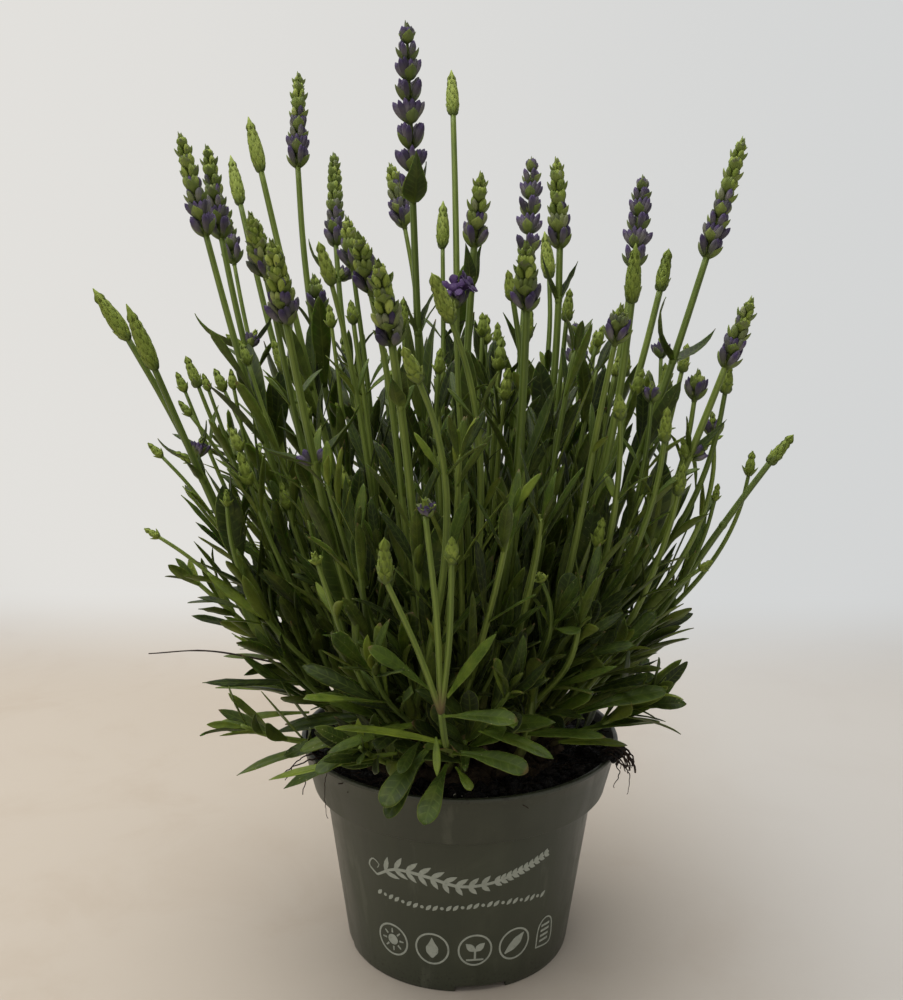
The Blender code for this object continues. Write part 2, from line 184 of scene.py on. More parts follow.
def rising(foot, end, end_dir, start_lean, n):
    azimuth = math.atan2(end[1] - foot[1], end[0] - foot[0])
    out = np.array([math.cos(azimuth), math.sin(azimuth), 0])
    start = math.sin(start_lean) * out + math.cos(start_lean) * np.array([0, 0, 1.0])
    length = np.linalg.norm(end - foot)
    return bezier(foot, foot + start * length * 0.34, end - unit(end_dir) * length * 0.36, end, n)


def plan_paths():
    paths = {}
    for key, (tip, neck, foot_radius, _) in STALKS.items():
        tip, neck = np.array(tip, float), np.array(neck, float)
        reach, azimuth = math.hypot(neck[0], neck[1]), math.atan2(neck[1], neck[0])
        foot, _ = crown_point(azimuth, foot_radius)
        lean = math.atan2(reach - math.hypot(foot[0], foot[1]), neck[2] - foot[2])
        paths["flower_stalk_" + key] = rising(foot, neck, tip - neck, min(1.1, 1.55 * lean), POINTS)
    for key, (azimuth, reach, height, _) in SHOOTS.items():
        a = math.radians(azimuth)
        foot, _ = crown_point(a, 39 if height < 160 else 34)
        end = np.array([reach * math.cos(a), reach * math.sin(a), height])
        rise = unit((math.cos(a) * 0.75, math.sin(a) * 0.75, 0.66))
        lean = math.radians(66 if height < 150 else 50)
        paths["leafy_shoot_" + key] = rising(foot, end, rise, lean, POINTS)
    names = list(paths)
    keep = {n: p.copy() for n, p in paths.items()}
    fixed_end = {n: n.startswith("flower") for n in names}
    for _ in range(120):
        moved = 0.0
        for i, first in enumerate(names):
            for second in names[i + 1 :]:
                a, b = paths[first], paths[second]
                gap = a[:, None, :] - b[None, :, :]
                far = np.linalg.norm(gap, axis=2)
                need = 6.2
                for p, q in np.argwhere(far < need):
                    push = gap[p, q] * [1, 1, 0.15]
                    push = unit(push if np.linalg.norm(push) > 0.05 else (1, 0, 0)) * (need - far[p, q]) * 0.5
                    for path, k, s, name in ((a, p, 1, first), (b, q, -1, second)):
                        hold = 0.0 if (k == POINTS - 1 and fixed_end[name]) else (0.35 if k >= POINTS - 2 else 1.0)
                        path[k] += s * push * hold
                        if 0 < k < POINTS - 1:
                            path[k - 1 if k > 1 else k] += s * push * 0.3 * hold
                    moved += need - far[p, q]
        for n, p in paths.items():
            radius = min(0.94 * CROWN_R, math.hypot(p[0, 0], p[0, 1]))
            p[0], _ = crown_point(math.atan2(p[0, 1], p[0, 0]), radius)
            inner = 0.5 * (p[:-2] + p[2:])
            p[1:-1] += 0.12 * (inner - p[1:-1]) + 0.02 * (keep[n][1:-1] - p[1:-1])
        if moved < 0.01:
            break
    return {n: p[::2].copy() for n, p in paths.items()}


def smooth(points, n):
    """A Catmull-Rom curve through the points, at n even stations."""
    p = np.asarray(points, float)
    p = np.vstack([2 * p[0] - p[1], p, 2 * p[-1] - p[-2]])
    t = np.linspace(0, 1, 8, endpoint=False)[:, None]
    fine = []
    for a, b, c, d in zip(p, p[1:], p[2:], p[3:]):
        fine.append(0.5 * ((2 * b) + (c - a) * t + (2 * a - 5 * b + 4 * c - d) * t**2 + (3 * b - a - 3 * c + d) * t**3))
    fine = np.vstack(fine + [p[-2:-1]])
    run = np.concatenate([[0], np.cumsum(np.linalg.norm(np.diff(fine, axis=0), axis=1))])
    at = np.linspace(0, run[-1], n)
    return np.column_stack([np.interp(at, run, fine[:, k]) for k in range(3)])


class Line:
    """A smooth centre line: a point and the direction at any share of its length."""

    def __init__(self, points, n=40):
        self.p = smooth(points, n)
        step = np.linalg.norm(np.diff(self.p, axis=0), axis=1)
        self.run = np.concatenate([[0], np.cumsum(step)])
        self.length = self.run[-1]
        self.run = self.run / self.length

    def at(self, t):
        return np.array([np.interp(t, self.run, self.p[:, k]) for k in range(3)])

    def along(self, t, d=0.02):
        return unit(self.at(min(1, t + d)) - self.at(max(0, t - d)))


# ---------------------------------------------------------------- mesh making
class Mesh:
    """Closed swept pieces gathered in one mesh, with a tint at each point: place along, chance, third value, kind."""

    def __init__(self):
        self.v, self.q, self.t, self.c, self.n = [], [], [], [], 0
        self.qm, self.tm = [], []

    def loft(self, rings, tint, slot=0, caps=(True, True)):
        s, k, _ = rings.shape
        base = self.n
        idx = base + np.arange(s * k).reshape(s, k)
        nxt = np.roll(idx, -1, axis=1)
        quads = np.stack([idx[:-1], nxt[:-1], nxt[1:], idx[1:]], axis=-1).reshape(-1, 4)
        self.v.append(rings.reshape(-1, 3))
        self.c.append(tint.reshape(-1, 4))
        self.q.append(quads)
        self.qm.append(np.full(len(quads), slot))
        self.n += s * k
        for end, ring, flip in ((0, rings[0], True), (1, rings[-1], False)):
            if not caps[end]:
                continue
            row = idx[0] if end == 0 else idx[-1]
            other = nxt[0] if end == 0 else nxt[-1]
            mid = self.n
            self.v.append(ring.mean(0)[None])
            self.c.append((tint[0] if end == 0 else tint[-1]).mean(0)[None])
            self.n += 1
            m = np.full(k, mid)
            tri = np.stack([m, other, row] if flip else [m, row, other], axis=-1)
            self.t.append(tri)
            self.tm.append(np.full(k, slot))

    def faces(self, verts, quads, tint, tris=None, slot=0):
        quads = np.asarray(quads, int).reshape(-1, 4)
        self.v.append(np.asarray(verts, float))
        self.c.append(np.asarray(tint, float))
        self.q.append(quads + self.n)
        self.qm.append(np.full(len(quads), slot))
        if tris is not None and len(tris):
            tris = np.asarray(tris, int).reshape(-1, 3)
            self.t.append(tris + self.n)
            self.tm.append(np.full(len(tris), slot))
        self.n += len(verts)

    def build(self, name, materials):
        v = np.vstack(self.v) * MM
        q = np.vstack(self.q) if self.q else np.zeros((0, 4), int)
        t = np.vstack(self.t) if self.t else np.zeros((0, 3), int)
        me = bpy.data.meshes.new(name)
        me.vertices.add(len(v))
        me.vertices.foreach_set("co", v.astype(np.float32).ravel())
        me.loops.add(q.size + t.size)
        me.loops.foreach_set("vertex_index", np.concatenate([q.ravel(), t.ravel()]).astype(np.int32))
        me.polygons.add(len(q) + len(t))
        starts = np.concatenate([np.arange(len(q)) * 4, q.size + np.arange(len(t)) * 3]).astype(np.int32)
        me.polygons.foreach_set("loop_start", starts)
        slots = np.concatenate([x for x in (self.qm + self.tm)]) if (self.qm or self.tm) else np.zeros(0)
        me.polygons.foreach_set("material_index", slots.astype(np.int32))
        me.update(calc_edges=True)
        me.shade_smooth()
        tint = me.attributes.new("tint", "FLOAT_COLOR", "POINT")
        tint.data.foreach_set("color", np.vstack(self.c).astype(np.float32).ravel())
        me.validate()
        for m in materials:
            me.materials.append(m)
        obj = bpy.data.objects.new(name, me)
        bpy.context.scene.collection.objects.link(obj)
        return obj


def frames(p, start=None):
    """Square frames carried along a line without twist."""
    t = np.gradient(p, axis=0)
    t /= np.linalg.norm(t, axis=1)[:, None]
    u = np.zeros_like(p)
    u[0] = across(t[0], (0.2, 1, 0.1) if start is None else start)
    for k in range(1, len(p)):
        u[k] = across(t[k], u[k - 1])
    return t, u, np.cross(t, u)


def tube(m, p, r, sides=8, square=0.10, chance=0.5, slot=0, start=None, kind=0.0, wobble=0.0, span=(0.0, 1.0), third=None):
    """A stem: round, or square with four ribs. r is one radius or one for each station."""
    p = np.asarray(p, float)
    n = len(p)
    r = np.broadcast_to(np.asarray(r, float), (n,)) * (1 + wobble * rng.standard_normal(n))
    _, u, w = frames(p, start)
    a = np.arange(sides) * 2 * math.pi / sides
    rib = 1 + square * np.cos(4 * a)
    ring = p[:, None] + (r[:, None] * rib)[:, :, None] * (u[:, None] * np.cos(a)[None, :, None] + w[:, None] * np.sin(a)[None, :, None])
    tint = np.zeros((n, sides, 4))
    tint[..., 0] = np.linspace(span[0], span[1], n)[:, None]
    tint[..., 1] = chance
    tint[..., 2] = third if third is not None else (rib[None] - 1 + square) / max(2 * square, 1e-6) if square else 0.5
    tint[..., 3] = kind
    m.loft(ring, tint, slot)


FORMS = {
    "spoon": ([0, 0.07, 0.2, 0.35, 0.5, 0.65, 0.8, 0.9, 0.96, 1], [0.2, 0.2, 0.28, 0.46, 0.7, 0.92, 1, 0.86, 0.6, 0.12]),
    "lance": ([0, 0.07, 0.2, 0.35, 0.5, 0.65, 0.8, 0.9, 0.96, 1], [0.26, 0.36, 0.62, 0.86, 0.99, 1, 0.8, 0.52, 0.27, 0.04]),
    "strap": ([0, 0.07, 0.2, 0.35, 0.5, 0.65, 0.8, 0.9, 0.96, 1], [0.4, 0.56, 0.8, 0.94, 1, 1, 0.92, 0.7, 0.42, 0.06]),
    "bract": ([0, 0.1, 0.25, 0.4, 0.55, 0.7, 0.85, 0.94, 1], [0.6, 0.84, 1, 0.98, 0.84, 0.6, 0.3, 0.12, 0.02]),
    "shield": ([0, 0.1, 0.3, 0.5, 0.68, 0.82, 0.92, 1], [0.7, 0.9, 1, 0.94, 0.74, 0.46, 0.2, 0.02]),
    "lyre": ([0, 0.1, 0.25, 0.4, 0.55, 0.7, 0.85, 0.94, 1], [0.55, 0.85, 1, 0.9, 0.66, 0.44, 0.24, 0.1, 0.02]),
    "heart": ([0, 0.07, 0.18, 0.32, 0.48, 0.64, 0.8, 0.92, 1], [0.4, 0.78, 1, 0.97, 0.82, 0.58, 0.31, 0.13, 0.02]),
    "petal": ([0, 0.2, 0.45, 0.7, 0.88, 1], [0.3, 0.6, 0.92, 1, 0.78, 0.25]),
}
STATIONS = {
    3: np.array([0, 0.035, 0.1, 0.2, 0.32, 0.44, 0.56, 0.68, 0.79, 0.87, 0.93, 0.97, 1.0]),
    2: np.array([0, 0.06, 0.18, 0.33, 0.5, 0.66, 0.8, 0.9, 0.96, 1.0]),
    1: np.array([0, 0.12, 0.33, 0.55, 0.76, 0.92, 1.0]),
    0: np.array([0, 0.25, 0.55, 0.82, 1.0]),
}
TOPS = {
    3: np.array([-1, -0.9, -0.62, -0.3, -0.07, 0.07, 0.3, 0.62, 0.9, 1.0]),
    2: np.array([-1, -0.86, -0.42, 0, 0.42, 0.86, 1.0]),
    1: np.array([-1, -0.5, 0, 0.5, 1.0]),
    0: np.array([-1, 0, 1.0]),
}


def midrib(o, d, n, length, bend, sway, s):
    """Places and frames along a leaf's midrib. Positive bend turns the tip away from the upper side."""
    side = np.cross(d, n)
    fine = np.linspace(0, 1, 25)
    phi = bend * fine**1.4
    dirs = np.cos(phi)[:, None] * d - np.sin(phi)[:, None] * n + (2 * sway * fine)[:, None] * side
    run = np.vstack([[0, 0, 0], np.cumsum(0.5 * (dirs[1:] + dirs[:-1]), axis=0) / 24]) * length
    p = o + np.column_stack([np.interp(s, fine, run[:, k]) for k in range(3)])
    ph = bend * s**1.4
    t = np.cos(ph)[:, None] * d - np.sin(ph)[:, None] * n + (2 * sway * s)[:, None] * side
    t /= np.linalg.norm(t, axis=1)[:, None]
    nn = np.cos(ph)[:, None] * n + np.sin(ph)[:, None] * d
    nn = nn - t * np.sum(nn * t, axis=1)[:, None]
    nn /= np.linalg.norm(nn, axis=1)[:, None]
    return p, t, nn, np.cross(t, nn)


def leaf(m, o, d, n, length, width, form="lance", bend=0.5, twist=0.0, sway=0.0, fold=0.22, roll=0.12, thick=0.5,
         chance=0.5, kind=0.0, fine=1, ripple=0.02, slot=0, third=None):
    """A leaf as a thin closed solid with its midrib, folded along it, bent and turned."""
    s, top = STATIONS[fine], TOPS[fine]
    d = unit(d)
    n = across(d, n)
    p, t, nn, side = midrib(np.asarray(o, float), d, n, length, bend, sway, s)
    if twist:
        a = twist * s[:, None]
        side, nn = np.cos(a) * side + np.sin(a) * nn, np.cos(a) * nn - np.sin(a) * side
    fs, fw = FORMS[form]
    w = 0.5 * width * np.interp(s, fs, fw)
    x = np.concatenate([top, top[-2:0:-1]])
    up = np.concatenate([np.ones(len(top)), -np.ones(len(top) - 2)])
    ax = np.abs(x)
    phase = uni(0, 6.28)
    wave = ripple * width * np.sin(2 * math.pi * s * 2.3 + phase)[:, None] * np.sign(x)[None] * ax[None] ** 2
    arch = w[:, None] * (fold * ax - roll * ax**3)[None]
    body = 0.5 * thick * (1 - 0.72 * ax**2)
    body[ax == 1] = 0
    rib = np.exp(-((ax / 0.16) ** 2)) if fine >= 2 else (ax < 0.1).astype(float)
    down = (up < 0) * rib * 0.34 * min(1.0, width / 6) + (up > 0) * rib * 0.16 * min(1.0, width / 6)
    z = arch + wave + (up * body)[None] * (0.45 + 0.55 * np.minimum(1, w / w.max()))[:, None] - down[None] * (1 - 0.75 * s)[:, None]
    ring = p[:, None] + (w[:, None] * x[None])[:, :, None] * side[:, None] + z[:, :, None] * nn[:, None]
    tint = np.zeros(ring.shape[:2] + (4,))
    tint[..., 0] = s[:, None]
    tint[..., 1] = chance
    tint[..., 2] = ax[None] if third is None else third
    under = np.where(up < 0, 1.0, 0.0)
    under[ax == 1] = 0.5
    tint[..., 3] = under if kind == 0 else kind
    m.loft(ring, tint, slot)


def calyx(m, o, d, length, radius, chance, violet, sides=8, bend=0.0, slot=0, open_lip=False, fine=True):
    """A flower's calyx: a downy tapered tube with a round shut tip."""
    d = unit(d)
    s = np.array([0, 0.14, 0.34, 0.56, 0.76, 0.9, 1.0] if fine else [0, 0.2, 0.55, 0.85, 1.0])
    prof = np.interp(s, [0, 0.14, 0.34, 0.56, 0.76, 0.9, 1.0], [0.34, 0.62, 0.88, 1.0, 0.9, 0.58, 0.12])
    up = across(d, (0, 0, 1))
    phi = bend * s
    t = np.cos(phi)[:, None] * d + np.sin(phi)[:, None] * up
    steps = np.diff(s, prepend=0)[:, None] * length * t
    p = np.asarray(o, float) + np.cumsum(steps, axis=0)
    u = across(d, (0.3, 0.2, 0.9))
    w = np.cross(d, u)
    a = np.arange(sides) * 2 * math.pi / sides
    ribs = 1 + 0.07 * np.cos(a * sides / 2)
    ring = p[:, None] + (radius * prof[:, None] * ribs[None])[:, :, None] * (u * np.cos(a)[None, :, None] + w * np.sin(a)[None, :, None])
    tint = np.zeros(ring.shape[:2] + (4,))
    tint[..., 0] = s[:, None]
    tint[..., 1] = chance
    tint[..., 2] = violet
    tint[..., 3] = 0.0
    m.loft(ring, tint, slot)


def corolla(m, o, d, size, chance, slot=0):
    """An open floret: a short throat and five round lobes."""
    d = unit(d)
    u = across(d, (0.2, 0.1, 1))
    w = np.cross(d, u)
    p = np.array([o, o + d * size * 0.5, o + d * size * 0.8])
    tube(m, p, np.array([0.22, 0.28, 0.4]) * size, 8, 0, chance, slot, kind=1.0)
    for k in range(5):
        a = k * 2 * math.pi / 5 + 0.3
        e = u * math.cos(a) + w * math.sin(a)
        leaf(m, o + d * size * 0.72 + e * size * 0.2, e * 0.86 + d * 0.5, d - e * 0.4, size * uni(0.75, 0.95), size * 0.72, "petal",
             bend=0.5, fold=-0.1, roll=0.0, thick=0.22, chance=chance, kind=1.0, fine=1, ripple=0.06, slot=slot, third=1.0)


def scales(m, base, axis, u, length, rmax, rows, per, chance, violet, size, slot=0, flare=0.1, start=0.0):
    """A shut bud: a core with rows of overlapping pointed scales."""
    w = np.cross(axis, u)
    hs = np.array([0, 0.06, 0.18, 0.36, 0.56, 0.76, 0.91, 1.0])
    rs = np.array([0.4, 0.66, 0.93, 1.0, 0.87, 0.58, 0.3, 0.06])
    core = base + axis * (hs * length)[:, None]
    tube(m, core, rs * rmax * 0.88, 10, 0, chance, slot, start=u, kind=0.3, span=(0.4, 0.6), third=0.5 * violet)
    for row in range(rows):
        f = row / max(1, rows - 1)
        h = length * (start + (0.74 - start) * f)
        r = rmax * np.interp(h / length, hs, rs)
        slope = math.atan2(rmax * (np.interp(min(1, h / length + 0.2), hs, rs) - np.interp(h / length, hs, rs)), 0.2 * length)
        ln = size * (1 - 0.22 * f) * uni(0.95, 1.05)
        for k in range(per):
            a = 2 * math.pi * (k + 0.5 * (row % 2)) / per + uni(-0.1, 0.1)
            e = u * math.cos(a) + w * math.sin(a)
            alpha = slope + 0.1 + flare * uni(0.7, 1.3)
            d = axis * math.cos(alpha) + e * math.sin(alpha)
            v = violet * uni(0.5, 1.2) if rng.random() < 0.35 + 0.5 * violet else 0.0
            leaf(m, base + axis * h + e * r * 0.8, d, -e * math.cos(alpha) + axis * math.sin(alpha), ln, ln * uni(0.84, 0.95), "bract",
                 bend=-0.34, fold=0.42, roll=0.0, thick=0.34, chance=float(np.clip(chance + uni(-0.12, 0.12), 0, 1)), kind=0.3, fine=1,
                 ripple=0.0, slot=slot, third=v)


def tier(m, here, axis, em, size, out, violet, chance, slot, fine=True):
    """Two opposite fans of calyces, each in its own green bract. The calyces stand clear as out goes from 0 to 1."""
    et = np.cross(axis, em)
    for sign in (1, -1):
        e, t = em * sign, et * sign
        for f in (-1.0, -0.5, 0.0, 0.5, 1.0) if fine else (-0.9, -0.3, 0.3, 0.9):
            d = axis + e * (0.22 + 0.16 * out) * uni(0.85, 1.15) + t * f * (0.3 + 0.5 * out) * uni(0.9, 1.1)
            calyx(m, here + e * 0.9 * size + t * f * 0.9 * size, d, (5.4 + 2.5 * out) * size * uni(0.9, 1.06), uni(1.14, 1.34) * size, uni(0, 1),
                  float(np.clip(violet * uni(0.62, 1.15) + (0.4 if rng.random() < 0.12 else 0.0), 0, 1)), bend=0.18 * abs(f), slot=slot, fine=fine)
        op = 0.95 + 0.08 * out
        leaf(m, here - axis * 0.9 * size + e * 0.9 * size, axis * math.cos(op) + e * math.sin(op), -e * math.cos(op) + axis * math.sin(op),
             6.8 * size * uni(0.94, 1.08), 5.4 * size, "shield", bend=-0.98, fold=0.55, roll=0.05, thick=0.38,
             chance=float(np.clip(chance + uni(-0.2, 0.2), 0, 1)), kind=0.5, fine=2 if fine else 1, slot=slot, third=uni(0.0, 0.16) + 0.14 * violet,
             ripple=0.0)
        for f in (-1.15, 1.15):
            leaf(m, here + e * 0.8 * size + t * f * 0.7 * size, axis * 0.8 + t * f * 0.75 + e * 0.3, -t * f + axis * 0.5, 4.4 * size * uni(0.85, 1.1), 2.4 * size, "shield",
                 bend=-0.5, fold=0.5, roll=0.0, thick=0.3, chance=float(np.clip(chance + uni(-0.1, 0.3), 0, 1)), kind=0.5, fine=1, slot=slot, third=uni(0.0, 0.3),
                 ripple=0.0)


def spike(m, neck, tip, stage, slot=0, rich=True, green=0.25):
    """A flower spike from the stalk's top to the tip. green is the share of a half-open one that has no violet yet."""
    neck, tip = np.asarray(neck, float), np.asarray(tip, float)
    axis = unit(tip - neck)
    length = float(np.linalg.norm(tip - neck))
    u = turn(across(axis, (0.3, 1, 0.1)), axis, uni(-0.35, 0.35))
    w = np.cross(axis, u)
    chance = uni(0.3, 0.7)
    if stage == "tiny":
        scales(m, neck - axis * 0.4, axis, u, length * 1.05, max(1.5, min(2.3, length * 0.26)), 3, 4, chance, 0.0, max(3.4, length * 0.5), slot, flare=0.03)
        return
    if stage == "violet":
        size = min(0.9, length / 9.5)
        tier(m, neck + axis * 0.7, axis, turn(u, axis, uni(0, 3.1)), size, 0.75, 0.98, chance, slot, False)
        tier(m, neck + axis * 2.2, axis, turn(u, axis, uni(0, 3.1)), size * 0.75, 0.5, 0.98, chance, slot, False)
        scales(m, neck + axis * 2.4, axis, u, max(3.0, length - 2.4), 1.5, 3, 4, chance, 0.4, 3.4, slot, flare=0.05)
        return
    if stage == "open":
        tier(m, neck + axis * 0.7, axis, u, 0.85, 0.8, 0.95, chance, slot, False)
        tier(m, neck + axis * 2.6, axis, w, 0.7, 0.4, 0.9, chance, slot, False)
        for k in range(3):
            a = -1.9 + 1.6 * k
            e = np.array([math.cos(a), math.sin(a), 0.0])
            corolla(m, neck + axis * (4.6 + 1.2 * (k % 2)) + e * 0.8, axis * 0.7 + e, 4.6, uni(0.2, 0.9), slot)
        return
    if stage == "bud":
        rmax = max(2.3, min(3.2, length * 0.165))
        scales(m, neck - axis * 0.4, axis, u, length, rmax, 7 if length > 15 else 5, 5, chance, 0.0, min(5.8, 0.28 * length + 1.2), slot,
               flare=0.02)
        for k in range(2):
            e = u * (1 if k else -1)
            leaf(m, neck - axis * 1.2 + e * 0.8, axis + e * 0.55, -e + axis * 0.5, 5.2, 4.8, "shield", bend=-0.6, fold=0.45, roll=0, thick=0.42,
                 chance=max(0.0, chance - 0.2), kind=0.5, fine=1, slot=slot, third=0.12 if rng.random() < 0.5 else 0.0)
        return
    full = stage == "bloom"
    count = max(3, int(round(length / (6.9 if full else 4.3))))
    f = np.linspace(0, 1, count)
    sizes = np.interp(f, [0, 0.45, 0.8, 1], [1.1, 1.05, 0.95, 0.8] if full else [1.0, 0.93, 0.82, 0.62])
    steps = np.concatenate([[0], np.cumsum(np.interp(f[:-1], [0, 1], [1.25, 0.72]))])
    hs = 0.9 + (length - 5.6 * sizes[-1] - 0.9) * steps / steps[-1]
    tube(m, np.array([neck - axis * 1.0, neck + axis * length * 0.5, neck + axis * length * 0.92]), np.array([1.05, 0.9, 0.5]), 8, 0.08, chance, slot,
         kind=0.5, span=(0.1, 0.3), third=0.1)
    spin = uni(-0.3, 0.3) - math.pi / 2
    for k in range(count):
        out = float(np.interp(f[k], [0, 0.7, 1], [1.0, 0.75, 0.2]) if full else np.interp(f[k], [0, 0.3, 0.6, 1], [1.0, 0.55 - 0.3 * green, 0.12, 0.0]))
        violet = float(0.98 - 0.15 * f[k] if full else 0.92 * np.interp(f[k], [0.6 - green, 1.32 - green], [1.0, 0.0]))
        tier(m, neck + axis * hs[k], axis, turn(u, axis, spin + (k % 2) * math.pi / 2 + uni(-0.2, 0.2)), sizes[k], out, violet, chance, slot, rich or length > 26)
    top = hs[-1] + 0.8
    for k in range(7):
        a = k * 2.4
        e = u * math.cos(a) + w * math.sin(a)
        al = 0.34 - 0.05 * k
        leaf(m, neck + axis * (top + 0.35 * k) + e * 0.6, axis * math.cos(al) + e * math.sin(al), -e * math.cos(al) + axis * math.sin(al),
             (length - top) * (0.84 + 0.04 * k), 3.2 * sizes[-1] + 0.5, "bract", bend=-0.22, fold=0.42, roll=0, thick=0.3,
             chance=float(np.clip(chance + uni(-0.1, 0.2), 0, 1)), kind=0.5, fine=1, slot=slot, third=0.35 if full else uni(0.0, 0.2), ripple=0.0)


# ---------------------------------------------------------------- materials
def srgb(r, g, b):
    def one(c):
        c /= 255
        return c / 12.92 if c <= 0.04045 else ((c + 0.055) / 1.055) ** 2.4

    return (one(r), one(g), one(b), 1.0)


class Mat:
    """A few lines' help for making a node material."""

    def __init__(self, name, rough=0.5, specular=0.5, sheen=0.0, sheen_rough=0.5, subsurface=0.0, radius=(0.001, 0.001, 0.0005)):
        self.m = bpy.data.materials.new(name)
        self.m.use_nodes = True
        self.t = self.m.node_tree
        self.bsdf = self.t.nodes["Principled BSDF"]
        i = self.bsdf.inputs
        i["Roughness"].default_value = rough
        i["Specular IOR Level"].default_value = specular
        i["Sheen Weight"].default_value = sheen
        i["Sheen Roughness"].default_value = sheen_rough
        i["Subsurface Weight"].default_value = subsurface
        i["Subsurface Radius"].default_value = radius
        i["Subsurface Scale"].default_value = 1.0
        self.coord = self.t.nodes.new("ShaderNodeTexCoord").outputs["Object"]

    def node(self, kind, **inputs):
        n = self.t.nodes.new(kind)
        for key, value in inputs.items():
            if hasattr(n, key) and key not in n.inputs:
                setattr(n, key, value)
        return n

    def put(self, socket, value):
        if isinstance(value, bpy.types.NodeSocket):
            self.t.links.new(value, socket)
        else:
            socket.default_value = value

    def tint(self):
        n = self.t.nodes.new("ShaderNodeAttribute")
        n.attribute_name = "tint"
        sep = self.t.nodes.new("ShaderNodeSeparateColor")
        self.t.links.new(n.outputs["Color"], sep.inputs[0])
        return sep.outputs[0], sep.outputs[1], sep.outputs[2], n.outputs["Alpha"]

    def noise(self, scale, detail=3.0, rough=0.55, stretch=None, distortion=0.0):
        n = self.t.nodes.new("ShaderNodeTexNoise")
        n.inputs["Scale"].default_value = scale
        n.inputs["Detail"].default_value = detail
        n.inputs["Roughness"].default_value = rough
        n.inputs["Distortion"].default_value = distortion
        source = self.coord
        if stretch is not None:
            mp = self.t.nodes.new("ShaderNodeMapping")
            mp.inputs["Scale"].default_value = stretch
            self.t.links.new(source, mp.inputs["Vector"])
            source = mp.outputs[0]
        self.t.links.new(source, n.inputs["Vector"])
        return n.outputs["Fac"]

    def voronoi(self, scale, feature="F1", stretch=None):
        n = self.t.nodes.new("ShaderNodeTexVoronoi")
        n.feature = feature
        n.inputs["Scale"].default_value = scale
        self.t.links.new(self.coord, n.inputs["Vector"])
        return n.outputs["Distance"]

    def math(self, op, a, b=0.5, clamp=False):
        n = self.t.nodes.new("ShaderNodeMath")
        n.operation = op
        n.use_clamp = clamp
        self.put(n.inputs[0], a)
        self.put(n.inputs[1], b)
        return n.outputs[0]

    def span(self, value, lo, hi, to_lo=0.0, to_hi=1.0):
        n = self.t.nodes.new("ShaderNodeMapRange")
        n.clamp = True
        n.interpolation_type = "SMOOTHSTEP"
        self.put(n.inputs["Value"], value)
        n.inputs["From Min"].default_value = lo
        n.inputs["From Max"].default_value = hi
        n.inputs["To Min"].default_value = to_lo
        n.inputs["To Max"].default_value = to_hi
        return n.outputs[0]

    def ramp(self, value, stops):
        n = self.t.nodes.new("ShaderNodeValToRGB")
        e = n.color_ramp.elements
        while len(e) > 1:
            e.remove(e[-1])
        e[0].position, e[0].color = stops[0]
        for pos, col in stops[1:]:
            x = e.new(pos)
            x.color = col
        self.t.links.new(value, n.inputs[0])
        return n.outputs["Color"]

    def mix(self, fac, a, b, mode="MIX"):
        n = self.t.nodes.new("ShaderNodeMix")
        n.data_type = "RGBA"
        n.blend_type = mode
        n.clamp_factor = True
        self.put(n.inputs[0], fac)
        self.put(n.inputs[6], a)
        self.put(n.inputs[7], b)
        return n.outputs[2]

    def finish(self, colour, rough=None, height=None, strength=0.3, distance=0.0003):
        self.put(self.bsdf.inputs["Base Color"], colour)
        if rough is not None:
            self.put(self.bsdf.inputs["Roughness"], rough)
        if height is not None:
            b = self.t.nodes.new("ShaderNodeBump")
            b.inputs["Strength"].default_value = strength
            b.inputs["Distance"].default_value = distance
            self.t.links.new(height, b.inputs["Height"])
            self.t.links.new(b.outputs[0], self.bsdf.inputs["Normal"])
        return self.m


